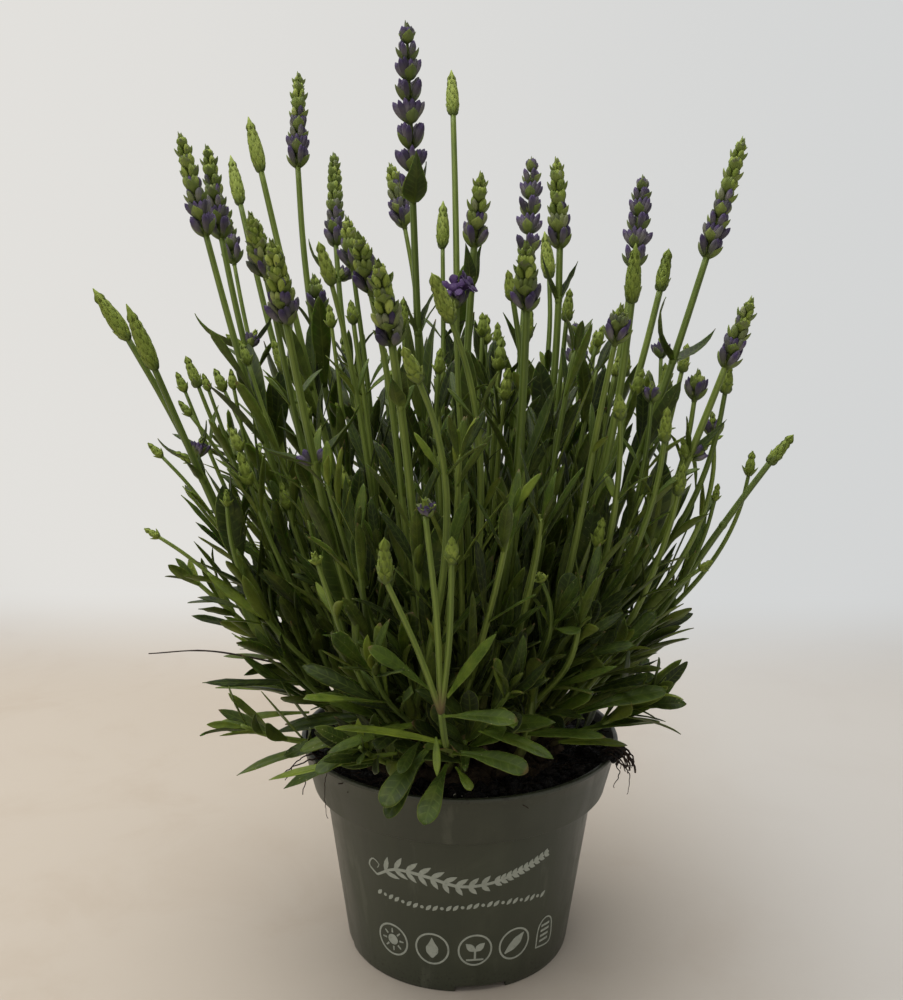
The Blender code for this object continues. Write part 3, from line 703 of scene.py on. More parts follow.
def leaf_material():
    k = Mat("leaf_blade", 0.5, 0.2, sheen=0.01, sheen_rough=0.4, subsurface=0.08, radius=(0.0008, 0.0014, 0.0003))
    along, chance, rib, under = k.tint()
    blotch = k.noise(190, 4, 0.6)
    fine = k.noise(1500, 3, 0.6)
    # tone from the tint's chance value and noise; for leaves placed in the bush without a given chance, that value is
    # lower deep inside, which is painted shade
    shade = k.math("ADD", k.math("MULTIPLY", chance, 0.62), k.math("MULTIPLY", blotch, 0.38))
    top = k.ramp(shade, [(0.08, srgb(15, 22, 6)), (0.3, srgb(36, 47, 14)), (0.55, srgb(68, 86, 24)), (0.82, srgb(124, 138, 42))])
    low = k.ramp(shade, [(0.1, srgb(28, 37, 12)), (0.45, srgb(77, 90, 32)), (0.85, srgb(128, 140, 54))])
    base = k.mix(k.span(under, 0.4, 0.62), top, low)
    # a paler midrib, a paler foot and a dry point on some
    patch = k.noise(85, 3, 0.6)
    base = k.mix(k.math("MULTIPLY", k.span(patch, 0.5, 0.66), 0.42), base, srgb(24, 34, 9))
    base = k.mix(k.math("MULTIPLY", k.span(patch, 0.46, 0.34), 0.2), base, srgb(112, 120, 46))
    base = k.mix(k.math("MULTIPLY", k.span(rib, 0.12, 0.01), 0.26), base, srgb(116, 132, 54))
    vein = k.span(k.math("SINE", k.math("SUBTRACT", k.math("MULTIPLY", along, 62.0), k.math("MULTIPLY", rib, 5.5))), 0.72, 1.0)
    vein = k.math("MULTIPLY", vein, k.math("MULTIPLY", k.span(rib, 0.06, 0.2), k.span(rib, 0.92, 0.7)))
    base = k.mix(k.math("MULTIPLY", vein, 0.16), base, srgb(116, 130, 56))
    base = k.mix(k.math("MULTIPLY", k.span(rib, 0.88, 1.0), 0.55), base, srgb(122, 134, 60))
    grit = k.math("MULTIPLY", k.span(k.voronoi(620), 0.2, 0.08), k.span(k.noise(48, 2, 0.5), 0.56, 0.64))
    base = k.mix(k.math("MULTIPLY", grit, 0.5), base, srgb(168, 164, 122))
    base = k.mix(k.math("MULTIPLY", k.span(along, 0.22, 0.0), 0.5), base, srgb(108, 128, 44))
    dry = k.math("MULTIPLY", k.span(along, 0.93, 1.0), k.span(k.noise(60, 1), 0.52, 0.62))
    base = k.mix(k.math("MULTIPLY", dry, 0.8), base, srgb(96, 72, 44))
    base = k.mix(k.math("MULTIPLY", k.span(fine, 0.62, 0.8), 0.25), base, srgb(34, 46, 22))
    rough = k.span(blotch, 0.3, 0.75, 0.4, 0.58)
    return k.finish(base, rough, k.math("ADD", k.math("MULTIPLY", fine, 0.6), blotch), 0.35, 0.0004)


def stalk_material():
    k = Mat("stalk_skin", 0.5, 0.28, sheen=0.02, sheen_rough=0.4)
    along, chance, rib, kind = k.tint()
    streak = k.noise(260, 4, 0.6, stretch=(1.0, 1.0, 0.12))
    fine = k.noise(1800, 2, 0.6)
    shade = k.math("ADD", k.math("MULTIPLY", chance, 0.5), k.math("MULTIPLY", streak, 0.5))
    base = k.ramp(shade, [(0.22, srgb(66, 81, 29)), (0.5, srgb(96, 114, 43)), (0.78, srgb(132, 147, 64))])
    base = k.mix(k.math("MULTIPLY", k.span(rib, 0.45, 0.0), 0.42), base, srgb(50, 64, 25))
    base = k.mix(k.math("MULTIPLY", k.span(rib, 0.72, 1.0), 0.35), base, srgb(146, 158, 92))
    base = k.mix(k.span(along, 0.2, 0.02), base, k.ramp(streak, [(0.3, srgb(74, 66, 42)), (0.7, srgb(116, 100, 66))]))
    rough = k.span(streak, 0.3, 0.7, 0.42, 0.62)
    return k.finish(base, rough, k.math("ADD", k.math("MULTIPLY", fine, 0.35), streak), 0.4, 0.0004)


def spike_material():
    k = Mat("spike_skin", 0.62, 0.28, sheen=0.05, sheen_rough=0.35)
    along, chance, violet, kind = k.tint()
    blotch = k.noise(420, 4, 0.6)
    fine = k.noise(2400, 2, 0.6)
    shade = k.math("ADD", k.math("MULTIPLY", chance, 0.55), k.math("MULTIPLY", blotch, 0.45))
    bud = k.ramp(shade, [(0.2, srgb(88, 104, 36)), (0.5, srgb(124, 140, 52)), (0.8, srgb(158, 170, 80))])
    # the foot of each bud scale darker: painted shade in the gaps where the scales overlap
    bud = k.mix(k.math("MULTIPLY", k.span(along, 0.4, 0.02), 0.42), bud, srgb(62, 76, 28))
    cup = k.ramp(shade, [(0.2, srgb(82, 97, 40)), (0.5, srgb(110, 126, 54)), (0.8, srgb(146, 158, 80))])
    # the foot of each bract and of the spike's stem darker: painted shade where they tuck under the calyces and one
    # another
    cup = k.mix(k.math("MULTIPLY", k.span(along, 0.42, 0.05), 0.55), cup, srgb(60, 74, 32))
    mottle = k.math("MULTIPLY", k.span(k.noise(380, 3, 0.6), 0.5, 0.66), k.span(along, 0.3, 0.75))
    cup = k.mix(k.math("MULTIPLY", mottle, 0.55), cup, srgb(86, 78, 76))
    green = k.mix(k.span(kind, 0.34, 0.44), bud, cup)
    green = k.mix(k.math("MULTIPLY", k.span(along, 0.86, 1.0), 0.2), green, srgb(140, 148, 84))
    body = k.ramp(shade, [(0.18, srgb(68, 62, 72)), (0.5, srgb(92, 86, 94)), (0.82, srgb(124, 118, 120))])
    tip = k.ramp(shade, [(0.18, srgb(46, 36, 66)), (0.82, srgb(82, 66, 106))])
    purple = k.mix(k.span(along, 0.55, 0.92), body, tip)
    purple = k.mix(k.math("MULTIPLY", k.span(along, 0.5, 0.05), 0.8), purple, srgb(96, 108, 66))
    petal = k.ramp(shade, [(0.15, srgb(44, 26, 62)), (0.85, srgb(74, 48, 98))])
    base = k.mix(k.span(violet, 0.12, 0.72), green, purple)
    base = k.mix(k.span(kind, 0.8, 0.95), base, petal)
    rough = k.span(blotch, 0.3, 0.7, 0.52, 0.72)
    return k.finish(base, rough, k.math("ADD", fine, k.math("MULTIPLY", blotch, 0.7)), 0.5, 0.00035)


def wood_material():
    k = Mat("old_wood_bark", 0.85, 0.25)
    grain = k.noise(240, 6, 0.7, stretch=(1, 1, 0.25))
    crack = k.voronoi(420)
    base = k.ramp(grain, [(0.25, srgb(30, 23, 16)), (0.55, srgb(62, 50, 36)), (0.8, srgb(100, 86, 64))])
    base = k.mix(k.span(crack, 0.22, 0.02), base, srgb(30, 22, 16))
    return k.finish(base, k.span(grain, 0.3, 0.7, 0.75, 0.95), k.math("ADD", grain, crack), 0.9, 0.0012)


def soil_material():
    k = Mat("peat_soil", 0.9, 0.3)
    _, chance, _, kind = k.tint()
    lump = k.noise(320, 8, 0.7)
    grit = k.voronoi(900)
    base = k.ramp(lump, [(0.25, srgb(5, 4, 3)), (0.5, srgb(11, 9, 7)), (0.72, srgb(25, 19, 14)), (0.9, srgb(50, 39, 29))])
    base = k.mix(k.math("MULTIPLY", chance, 0.3), base, srgb(48, 36, 25))
    base = k.mix(k.span(kind, 0.8, 0.95), base, k.ramp(lump, [(0.3, srgb(176, 168, 152)), (0.8, srgb(226, 222, 212))]))
    rough = k.span(lump, 0.35, 0.65, 0.62, 0.98)
    return k.finish(base, rough, k.math("ADD", lump, grit), 1.0, 0.0011)


def root_material():
    k = Mat("root_thread", 0.8, 0.3)
    n = k.noise(500, 4, 0.6)
    base = k.ramp(n, [(0.3, srgb(26, 19, 15)), (0.6, srgb(50, 37, 28)), (0.85, srgb(92, 76, 60))])
    return k.finish(base, k.span(n, 0.3, 0.7, 0.7, 0.9), n, 0.5, 0.0004)


def pot_material():
    k = Mat("pot_plastic_skin", 0.36, 0.5)
    cloud = k.noise(30, 5, 0.65, distortion=0.8)
    streak = k.noise(95, 5, 0.62, stretch=(1.0, 1.0, 0.14))
    grain = k.noise(2600, 2, 0.5)
    dust = k.noise(420, 6, 0.75)
    speck = k.noise(900, 3, 0.6)
    sep = k.t.nodes.new("ShaderNodeSeparateXYZ")
    k.t.links.new(k.coord, sep.inputs[0])
    z = sep.outputs[2]
    base = k.ramp(cloud, [(0.3, srgb(50, 55, 41)), (0.55, srgb(58, 62, 47)), (0.8, srgb(69, 73, 57))])
    # a darker collar, which is painted shade, a dry film on the collar, wet streaks down the wall, dust, and soil near
    # the foot and the lip
    film = k.math("MULTIPLY", k.span(z, 0.066, 0.0695), k.span(cloud, 0.34, 0.62, 0.25, 0.75))
    # the collar darkened all round: painted shade against the light from above
    base = k.mix(k.math("MULTIPLY", k.span(z, 0.066, 0.0695), 0.3), base, srgb(42, 45, 33))
    base = k.mix(k.math("MULTIPLY", film, 0.1), base, srgb(80, 83, 68))
    base = k.mix(k.math("MULTIPLY", k.span(streak, 0.52, 0.66), 0.46), base, srgb(42, 46, 33))
    base = k.mix(k.math("MULTIPLY", k.span(streak, 0.43, 0.32), 0.36), base, srgb(92, 94, 80))
    base = k.mix(k.math("MULTIPLY", k.span(dust, 0.65, 0.73), 0.4), base, srgb(116, 112, 98))
    dirty = k.math("MAXIMUM", k.span(z, 0.014, 0.0), k.span(z, 0.083, 0.088))
    base = k.mix(k.math("MULTIPLY", k.math("MULTIPLY", dirty, k.span(speck, 0.56, 0.64)), 0.75), base, srgb(30, 23, 17))
    rough = k.math("ADD", k.span(streak, 0.35, 0.7, 0.4, 0.26), k.math("MULTIPLY", k.span(cloud, 0.3, 0.7), 0.14))
    return k.finish(base, rough, k.math("ADD", k.math("MULTIPLY", grain, 0.4), k.math("MULTIPLY", cloud, 0.6)), 0.2, 0.0003)


def print_material():
    k = Mat("pot_print_ink", 0.55, 0.35)
    worn = k.noise(700, 5, 0.7)
    patch = k.noise(60, 3, 0.6)
    base = k.ramp(worn, [(0.2, srgb(120, 126, 114)), (0.42, srgb(158, 163, 151)), (0.8, srgb(176, 180, 168))])
    base = k.mix(k.math("MULTIPLY", k.span(patch, 0.55, 0.75), 0.3), base, srgb(122, 126, 114))
    return k.finish(base, k.span(worn, 0.3, 0.7, 0.48, 0.65), worn, 0.2, 0.0002)


M_LEAF, M_STALK, M_SPIKE = leaf_material(), stalk_material(), spike_material()
M_WOOD, M_SOIL, M_ROOT, M_POT, M_PRINT = wood_material(), soil_material(), root_material(), pot_material(), print_material()


def shown(obj, slot, *nodes):
    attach(obj, "root")
    if nodes:
        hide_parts(*nodes)
    return obj


# ---------------------------------------------------------------- room taken, so that leaves and stems keep clear of each other
CELL = 1.6
ORIGIN = np.array([-160.0, -140.0, 0.0])
TAKEN = np.zeros((200, 175, 245), np.uint8)
BOX_LO, BOX_HI = np.array([-148.0, -126.0, 1.0]), np.array([146.0, 123.0, 378.0])


def cells(p):
    c = ((np.asarray(p) - ORIGIN) / CELL).astype(int)
    return np.clip(c, 0, np.array(TAKEN.shape) - 1)


def occupy(p, weight=1):
    c = cells(p)
    TAKEN[c[:, 0], c[:, 1], c[:, 2]] = np.minimum(250, TAKEN[c[:, 0], c[:, 1], c[:, 2]].astype(int) + weight).astype(np.uint8)


def clash(p):
    """How much of this is already taken, with anything outside the box or in the pot counted heavily."""
    c = cells(p)
    score = float(np.minimum(TAKEN[c[:, 0], c[:, 1], c[:, 2]], 3).sum())
    score += 30.0 * float(np.any((p < BOX_LO) | (p > BOX_HI), axis=1).sum())
    r = np.hypot(p[:, 0], p[:, 1])
    score += 8.0 * float(((p[:, 2] < 84.5) & (r < 63)).sum())
    score += 12.0 * float(((p[:, 2] < 90.0) & (p[:, 2] > 60) & (r > 58.5) & (r < 67.5)).sum())
    score += 12.0 * float(((p[:, 2] < 62.0) & (r < 60)).sum())
    score += 2.5 * float(((p[:, 2] < 99.0 + 0.25 * np.maximum(0, r - 75)) & (r > 56)).sum())
    score += 2.0 * float(((p[:, 2] < 104.0) & (p[:, 0] > 2) & (p[:, 0] < 58) & (p[:, 1] < -24)).sum())
    wide = (p[:, 0] + 4) / (395 + p[:, 1])
    score += 4.0 * float(((p[:, 2] < 166) & (wide > 0.252) | (p[:, 2] < 200) & (wide > 0.268)).sum())
    return score


def occupy_line(p, radius):
    t, u, w = frames(p)
    pts = [p]
    for a in range(6):
        e = u * math.cos(a * 1.047) + w * math.sin(a * 1.047)
        pts.append(p + e * radius)
    occupy(np.vstack(pts), 2)


SAMPLE_S = np.linspace(0.16, 1.0, 12)


def leaf_points(o, d, n, length, width, form, bend, twist, sway):
    p, _, nn, side = midrib(np.asarray(o, float), d, n, length, bend, sway, SAMPLE_S)
    if twist:
        a = twist * SAMPLE_S[:, None]
        side = np.cos(a) * side + np.sin(a) * nn
    fs, fw = FORMS[form]
    w = 0.5 * width * np.interp(SAMPLE_S, fs, fw)[:, None]
    return np.vstack([p, p + side * w * 0.85, p - side * w * 0.85, p + side * w * 0.4, p - side * w * 0.4])


def place_leaf(m, origin, tangent, out, length, width, open_deg, bend, form, tries=7, chance=None, fine=1, slot=0, thick=0.5, must=False,
               fold=None, spread=1.0):
    """Puts a leaf at a node, in the least crowded of several ways to hold it. Leaves it off where every way is crowded.
    Without a given chance, the tone is random and darker deep in the bush, which is painted shade.
    """
    best = None
    for k in range(tries):
        w = 0 if k == 0 else 1
        spin = w * uni(-0.75, 0.75) * spread
        a = math.radians(open_deg + w * uni(-16, 20) * spread)
        ln = length * (uni(0.82, 1.12) if k < 5 else uni(0.6, 0.85))
        e = turn(out, tangent, spin)
        d = e * math.sin(a) + tangent * math.cos(a)
        n = tangent * math.sin(a) - e * math.cos(a)
        tw, sw, bd = uni(-0.7, 0.7), uni(-0.16, 0.16), bend + uni(-0.3, 0.3)
        pts = leaf_points(origin, d, n, ln, width, form, bd, tw, sw)
        score = clash(pts)
        if best is None or score < best[0]:
            best = (score, d, n, ln, bd, tw, sw, pts)
        if score == 0:
            break
    score, d, n, ln, bd, tw, sw, pts = best
    if score > (12 if must else 7):
        return False
    if chance is None:
        # a random tone, scaled down the deeper the leaf sits in the bush: painted shade of the bush's inside
        mid = pts[len(SAMPLE_S) // 2]
        painted_shade_openness = min(1.0, math.hypot(mid[0], mid[1]) / float(np.interp(mid[2], [90, 130, 200, 260], [74, 92, 84, 78])))
        chance = float(rng.beta(2.0, 2.4)) * (0.14 + 0.92 * painted_shade_openness**2.2)
    leaf(m, origin, d, n, ln, width * (0.7 + 0.3 * ln / length), form, bend=bd, twist=tw, sway=sw,
         fold=uni(0.1, 0.4) if fold is None else fold, roll=uni(0.0, 0.2), thick=thick, chance=chance,
         fine=fine, ripple=uni(0.0, 0.05), slot=slot)
    occupy(pts)
    return True


def dress(m, line, t0, t1, pairs, size, width, open_deg, bend, form, stem_r, fine=1, axil=0.6, slot=0, taper=0.45, spin=None):
    """Leaves in crossed pairs along a stem, with tufts of small ones in their axils."""
    spin = uni(0, 3.14) if spin is None else spin
    side0 = across(line.along(t0), (math.cos(spin), math.sin(spin), 0.2))
    for k in range(pairs):
        f = k / max(1, pairs - 1)
        t = min(1.0, t0 + (t1 - t0) * (f + uni(-0.25, 0.25) / max(1, pairs)))
        p, tangent = line.at(t), line.along(t)
        side = across(tangent, side0)
        if k % 2:
            side = np.cross(tangent, side)
        scale = 1 - taper * f**1.4
        for half in (1, -1):
            out = side * half
            place_leaf(m, p + out * stem_r * 0.7, tangent, out, size * scale * uni(0.86, 1.12), width * (0.6 + 0.4 * scale) * uni(0.88, 1.1),
                       open_deg[0] + (open_deg[1] - open_deg[0]) * f + uni(-5, 5), bend[0] + (bend[1] - bend[0]) * f, form, fine=fine, slot=slot)
            if rng.random() < axil:
                for _ in range(int(rng.integers(2, 4))):
                    place_leaf(m, p + out * stem_r + tangent * uni(0.5, 2.0), tangent, turn(out, tangent, uni(-0.7, 0.7)), size * uni(0.3, 0.52),
                               width * uni(0.3, 0.5), uni(12, 32), uni(0.0, 0.5), "strap", tries=3, fine=0 if fine < 2 else 1, slot=slot, thick=0.4)


def tuft(m, p, tangent, count, size, width, form="strap", fine=1, slot=0):
    """The growing tip: a few small leaves close together."""
    u = across(tangent, (0.5, 0.6, 0.2))
    for k in range(count):
        out = turn(u, tangent, k * 2.4)
        place_leaf(m, p + out * 0.5 - tangent * (1.2 - 0.2 * k), tangent, out, size * (1 - 0.1 * k) * uni(0.9, 1.1), width * (1 - 0.08 * k), 8 + 5 * (count - k) * 0.8, 0.25, form,
                   tries=4, fine=fine, slot=slot, must=True)


# ---------------------------------------------------------------- stems
paths = plan_paths()
for name, path in paths.items():
    path[0] = path[0] + unit(path[1] - path[0]) * 0.9
lines = {name: Line(path, 44 if name.startswith("flower") else 30) for name, path in paths.items()}
for name, line in lines.items():
    occupy_line(smooth(line.p, int(line.length / 1.2)), 1.2)


def stem_foot(azimuth, radius):
    p, _ = crown_point(azimuth, radius)
    return p


def free_path(neck, tip_dir, radius_range, tries=14, lean_k=1.5, spread=0.5):
    """A line from the crown to a stem's top, the least crowded of several."""
    neck = np.asarray(neck, float)
    reach, az = math.hypot(neck[0], neck[1]), math.atan2(neck[1], neck[0])
    best = None
    for _ in range(tries):
        fr = min(CROWN_R * 0.94, uni(*radius_range))
        foot = stem_foot(az + uni(-spread, spread), fr)
        lean = math.atan2(max(2.0, reach - fr), neck[2] - foot[2])
        p = rising(foot, neck, tip_dir, min(1.15, lean_k * lean * uni(0.8, 1.15)), 13)
        wander = np.sin(np.linspace(0, math.pi, 13) * uni(1, 2))[:, None] * np.array([uni(-3, 3), uni(-3, 3), 0])
        p = p + wander * np.sin(np.linspace(0, math.pi, 13))[:, None]
        fine = smooth(p, 70)
        score = clash(fine[6:-2])
        if best is None or score < best[0]:
            best = (score, p)
        if score == 0:
            break
    return Line(best[1], 36)


side_lines = []
for tip, neck, stage in SIDE:
    tip, neck = np.array(tip, float), np.array(neck, float)
    reach = math.hypot(neck[0], neck[1])
    if neck[1] <= -95 and neck[2] < 200:
        side_lines.append((None, tip, neck, stage))
        continue
    line = free_path(neck, tip - neck, (min(40, reach * 0.25), min(44, reach * 0.45 + 6)))
    occupy_line(smooth(line.p, int(line.length / 1.2)), 0.9)
    side_lines.append((line, tip, neck, stage))

# leafy stems inside the bush, spread evenly round and from the middle out: low broad-leaved ones, and tall ones with few narrow leaves
INNER = []
golden = math.pi * (3 - math.sqrt(5))
for kind, count in (("low", 42), ("tall", 70)):
    for k in range(count):
        share = (k + 0.5) / count
        az = k * golden + uni(-0.25, 0.25) + (1.0 if kind == "tall" else 0.0)
        right_side = max(0.0, math.cos(az))
        if kind == "low":
            rho = 84 * math.sqrt(share) * uni(0.9, 1.05) * (1 - 0.17 * right_side)
            h = uni(116, 150) + 40 * (1 - rho / 90) * uni(0.6, 1.1)
            d = unit((math.cos(az) * 0.8, math.sin(az) * 0.8, 0.85))
            feet = (min(38, rho * 0.34), min(43, rho * 0.5 + 4))
        else:
            rho = 94 * math.sqrt(share) * uni(0.9, 1.06) * (1 - 0.1 * right_side)
            h = 158 + 96 * float(rng.beta(1.8, 1.6)) - 12 * (rho / 98) ** 3
            d = unit((math.cos(az) * 0.42 * rho / 98 + uni(-0.1, 0.1), math.sin(az) * 0.42 * rho / 98 + uni(-0.1, 0.1), 1.0))
            feet = (min(34, rho * 0.2), min(43, rho * 0.42 + 6))
        end = np.array([rho * math.cos(az), rho * math.sin(az), h])
        line = free_path(end, d, feet, tries=10, spread=0.35)
        occupy_line(smooth(line.p, int(line.length / 1.2)), 0.9)
        INNER.append((line, rho, h, az, kind))


# ---------------------------------------------------------------- flower stalks and their spikes
# leaf pairs on the stalks that show: stalk: (share of length, leaf length, width, open angle, bend, violet bud in the axil)
GREEN = {"03": 0.6, "04": 0.6, "07": 0.5, "08": 0.62, "09": 0.82, "10": 0.8, "13": 0.8, "15": 0.78, "16": 0.8, "20": 0.55, "21": 0.6}
NODES = {
    "01": [(0.72, 18, 5.4, 52, -0.6, 1)],
    "02": [(0.46, 24, 5.0, 30, 0.2, 0), (0.74, 13, 3.8, 26, 0.1, 0)],
    "03": [(0.70, 15, 4.0, 26, 0.2, 0)],
    "04": [(0.79, 26, 7.4, 66, -1.0, 1)],
    "07": [(0.72, 17, 4.0, 22, 0.1, 0)],
    "08": [(0.925, 23, 7.6, 56, -0.9, 1)],
    "09": [(0.72, 25, 7.6, 60, -0.6, 2)],
    "10": [(0.62, 30, 6.0, 24, 0.1, 0), (0.88, 15, 5.6, 18, 0.0, 0)],
    "11": [(0.77, 18, 5.4, 16, 0.1, 0)],
    "12": [(0.62, 20, 4.6, 20, 0.1, 0)],
    "13": [(0.93, 15, 5.0, 24, -0.2, 0)],
    "14": [(0.78, 18, 4.8, 24, 0.1, 0)],
    "15": [(0.9, 19, 5.6, 26, -0.2, 0)],
    "16": [(0.66, 32, 7.0, 22, 0.1, 0)],
    "17": [(0.72, 18, 4.4, 22, 0.1, 0)],
    "20": [(0.80, 25, 7.8, 60, -0.9, 0)],
    "21": [(0.78, 20, 4.8, 26, 0.0, 1)],
    "22": [(0.56, 17, 4.0, 24, 0.1, 0), (0.78, 11, 3.0, 22, 0.0, 0)],
}
for key, (tip, neck, _, stage) in STALKS.items():
    name = "flower_stalk_" + key
    line = lines[name]
    m = Mesh()
    r = np.interp(np.linspace(0, 1, len(line.p)), [0, 0.1, 0.6, 1], [1.9, 1.7, 1.35, 1.12])
    chance = uni(0.25, 0.75)
    tube(m, line.p, r, 8, 0.12, chance, 0)
    spin = uni(0, 3.14)
    for t, ln, wd, op, bd, buds in NODES.get(key, []):
        p, tangent = line.at(t), line.along(t)
        side = across(tangent, (1, 0.25 + 0.2 * math.sin(spin), 0)) if ln > 15 else across(tangent, (0.3, 1, 0))
        rr = float(np.interp(t, np.linspace(0, 1, len(r)), r))
        tube(m, np.array([p - tangent * 2.0, p - tangent * 0.7, p + tangent * 0.5, p + tangent * 1.6]), np.array([0.9, 1.18, 1.16, 0.9]) * rr, 8, 0.08, chance, 0,
             span=(t, t))
        for half in (1, -1):
            out = side * half
            place_leaf(m, p + out * rr * 0.8, tangent, out, ln * uni(0.92, 1.06), wd, op, bd, "lyre" if ln < 27 else "lance", tries=1, fine=2, slot=1, must=True,
                       chance=uni(0.05, 0.3), fold=0.45)
            if buds:
                d = unit(tangent * 0.8 + out * 0.6)
                base = p + out * rr
                if buds == 2:
                    for j in range(3):
                        calyx(m, base, unit(d + 0.4 * np.array([uni(-1, 1), uni(-1, 1), uni(-0.3, 1)])), uni(5, 6.5), 1.3, uni(0, 1), uni(0.75, 1), slot=2)
                else:
                    spike(m, base, base + d * uni(6.5, 8.5), "violet" if half == 1 else "tiny", slot=2)
    # long steep leaves low on the stalk
    dress(m, line, 0.14, 0.52, 3, uni(40, 52), uni(5.6, 7.6), (20, 12), (0.1, 0.15), "lance", 1.4, fine=1, axil=0.55, slot=1, taper=0.3, spin=spin)
    if neck[2] > 275 or key == "13":
        p, tangent = line.at(0.61), line.along(0.61)
        side = across(tangent, (math.cos(spin), math.sin(spin), 0))
        for half in (1, -1):
            place_leaf(m, p + side * half * 1.2, tangent, side * half, uni(33, 40), uni(6.8, 8.6), 13, 0.1, "lance", fine=2, slot=1, chance=uni(0.12, 0.4))
    obj = m.build("visual_" + name, [M_STALK, M_LEAF, M_SPIKE])
    shown(obj, "stalk", name)

    s = Mesh()
    n, t = np.array(neck, float), np.array(tip, float)
    spike(s, n, t, stage, green=GREEN.get(key, 0.3))
    if key == "11":
        # a broad heart-shaped bract under the whorls
        ax = unit(t - n)
        e = across(ax, (0.25, -1, 0))
        leaf(s, n - ax * 1.4 + e * 1.4, e * 1.0 + ax, -e + ax * 1.0, 19.5, 9.4, "heart", bend=-0.95, fold=0.34, roll=0, thick=0.5, chance=0.1, fine=3, slot=1)
        r = turn(e, ax, 1.5)
        leaf(s, n - ax * 0.6 + r * 1.2, r * 0.5 + ax, -r + ax * 0.6, 14, 7.5, "heart", bend=-0.4, fold=0.3, roll=0, thick=0.5, chance=0.05, fine=2, slot=1)
    obj = s.build("visual_flower_spike_" + key, [M_SPIKE, M_LEAF])
    shown(obj, "green_buds" if stage == "bud" else "violet_flowers", "flower_spike_" + key)

# ---------------------------------------------------------------- the leafy shoots round the base
for key in SHOOTS:
    name = "leafy_shoot_" + key
    line = lines[name]
    if key == "left_front":
        line = Line(line.p[:26], 26)
    m = Mesh()
    r = np.interp(np.linspace(0, 1, len(line.p)), [0, 0.3, 1], [2.0, 1.5, 0.9])
    tube(m, line.p, r, 8, 0.10, uni(0.3, 0.7), 0)
    low = SHOOTS[key][2] < 140
    front = key.startswith("front")
    if key in ("front", "front_right"):
        size, wide, form = uni(38, 42), uni(7.2, 8.4), "spoon"
    elif key in ("left", "left_front", "front_left"):
        size, wide, form = uni(28, 34), uni(5.0, 6.2), "lance"
    elif key.startswith("right"):
        size, wide, form = uni(28, 33), uni(6.4, 7.8), "lance"
    else:
        size, wide, form = uni(36, 42), uni(5.4, 7.2), "lance"
    dress(m, line, 0.2, 0.95, 7 if size > 35 else 9, size, wide, (46, 18), (0.3, 0.1), form, 1.3, fine=2, axil=0.6, slot=1)
    tuft(m, line.p[-1], line.along(1.0), 6, 0.45 * size, 0.6 * wide, "lance", 2, slot=1)
    obj = m.build("visual_" + name, [M_STALK, M_LEAF])
    shown(obj, "leaf", name)

# ---------------------------------------------------------------- side stalks
for k, (line, tip, neck, stage) in enumerate(side_lines):
    m = Mesh()
    if line is None:
        spike(m, neck, tip, stage, slot=0, green=0.8)
        shown(m.build(f"side_stalk_{k + 1:02d}", [M_SPIKE]), "green_buds")
        continue
    thin = {"tiny": 0.66, "violet": 0.8, "open": 0.8}.get(stage, 1.0)
    r = np.interp(np.linspace(0, 1, len(line.p)), [0, 0.15, 0.7, 1], [1.5, 1.25, 1.05, 0.82]) * (0.55 + 0.45 * thin)
    tube(m, line.p, r, 8, 0.12, uni(0.3, 0.8), 0)
    dress(m, line, 0.16, 0.6, 3, uni(34, 46), uni(4.0, 6.2), (18, 10), (0.1, 0.15), "lance", 1.1, fine=1, axil=0.3, slot=1, taper=0.35)
    t = uni(0.74, 0.84)
    p, tangent = line.at(t), line.along(t)
    side = across(tangent, (uni(-1, 1), uni(-1, 1), 0))
    for half in (1, -1):
        place_leaf(m, p + side * half * 0.8, tangent, side * half, uni(12, 19), uni(2.8, 4.2), uni(24, 38), 0.3, "lance", tries=4, fine=1, slot=1, chance=uni(0.3, 0.8))
    spike(m, neck, tip, stage, slot=2, rich=False, green=uni(0.45, 0.85))
    obj = m.build(f"side_stalk_{k + 1:02d}", [M_STALK, M_LEAF, M_SPIKE])
    shown(obj, "stalk")

# ---------------------------------------------------------------- leafy stems inside the bush, in eight sectors
groups = {}
for line, rho, h, az, kind in INNER:
    sector = int(((az % (2 * math.pi)) / (2 * math.pi)) * 8) % 8
    m = groups.setdefault(sector, Mesh())
    if kind == "low":
        r = np.interp(np.linspace(0, 1, len(line.p)), [0, 0.2, 1], [1.6, 1.2, 0.7])
        tube(m, line.p, r, 8, 0.10, uni(0.2, 0.7), 0)
        pairs = int(np.clip(line.length / 14, 4, 7))
        dress(m, line, 0.26, 0.95, pairs, uni(36, 46), uni(6.2, 8.6), (44, 20), (0.3, 0.1), "lance" if rng.random() < 0.55 else "spoon", 1.0, fine=1, axil=0.45,
              slot=1, taper=0.35)
        tuft(m, line.p[-1], line.along(1.0), 5, 22, 4.2, "lance", 1, slot=1)
    else:
        r = np.interp(np.linspace(0, 1, len(line.p)), [0, 0.2, 1], [1.6, 1.25, 0.75])
        tube(m, line.p, r, 8, 0.12, uni(0.3, 0.95), 0)
        pairs = int(np.clip(line.length / 30, 3, 6))
        near = line.p[-1][1] < -38
        broad = rng.random() < 0.5 and not near
        dress(m, line, 0.2, 0.9, pairs, uni(34, 42) if broad else uni(36, 50), uni(7.0, 8.8) if broad else uni(3.6, 6.0), (18, 8), (0.08, 0.1),
              "lance" if broad or near or rng.random() < 0.8 else "spoon", 1.0, fine=1, axil=0.2, slot=1, taper=0.35)
        end, ahead = line.p[-1], line.along(1.0)
        if rng.random() < (0.12 if near else 0.45):
            spike(m, end, end + ahead * uni(7, 12), "tiny", slot=2)
        else:
            tuft(m, end, ahead, 3, uni(14, 20), 3.8, "lance", 1, slot=1)
for sector, m in sorted(groups.items()):
    shown(m.build(f"inner_shoots_{sector + 1}", [M_STALK, M_LEAF, M_SPIKE]), "leaf")


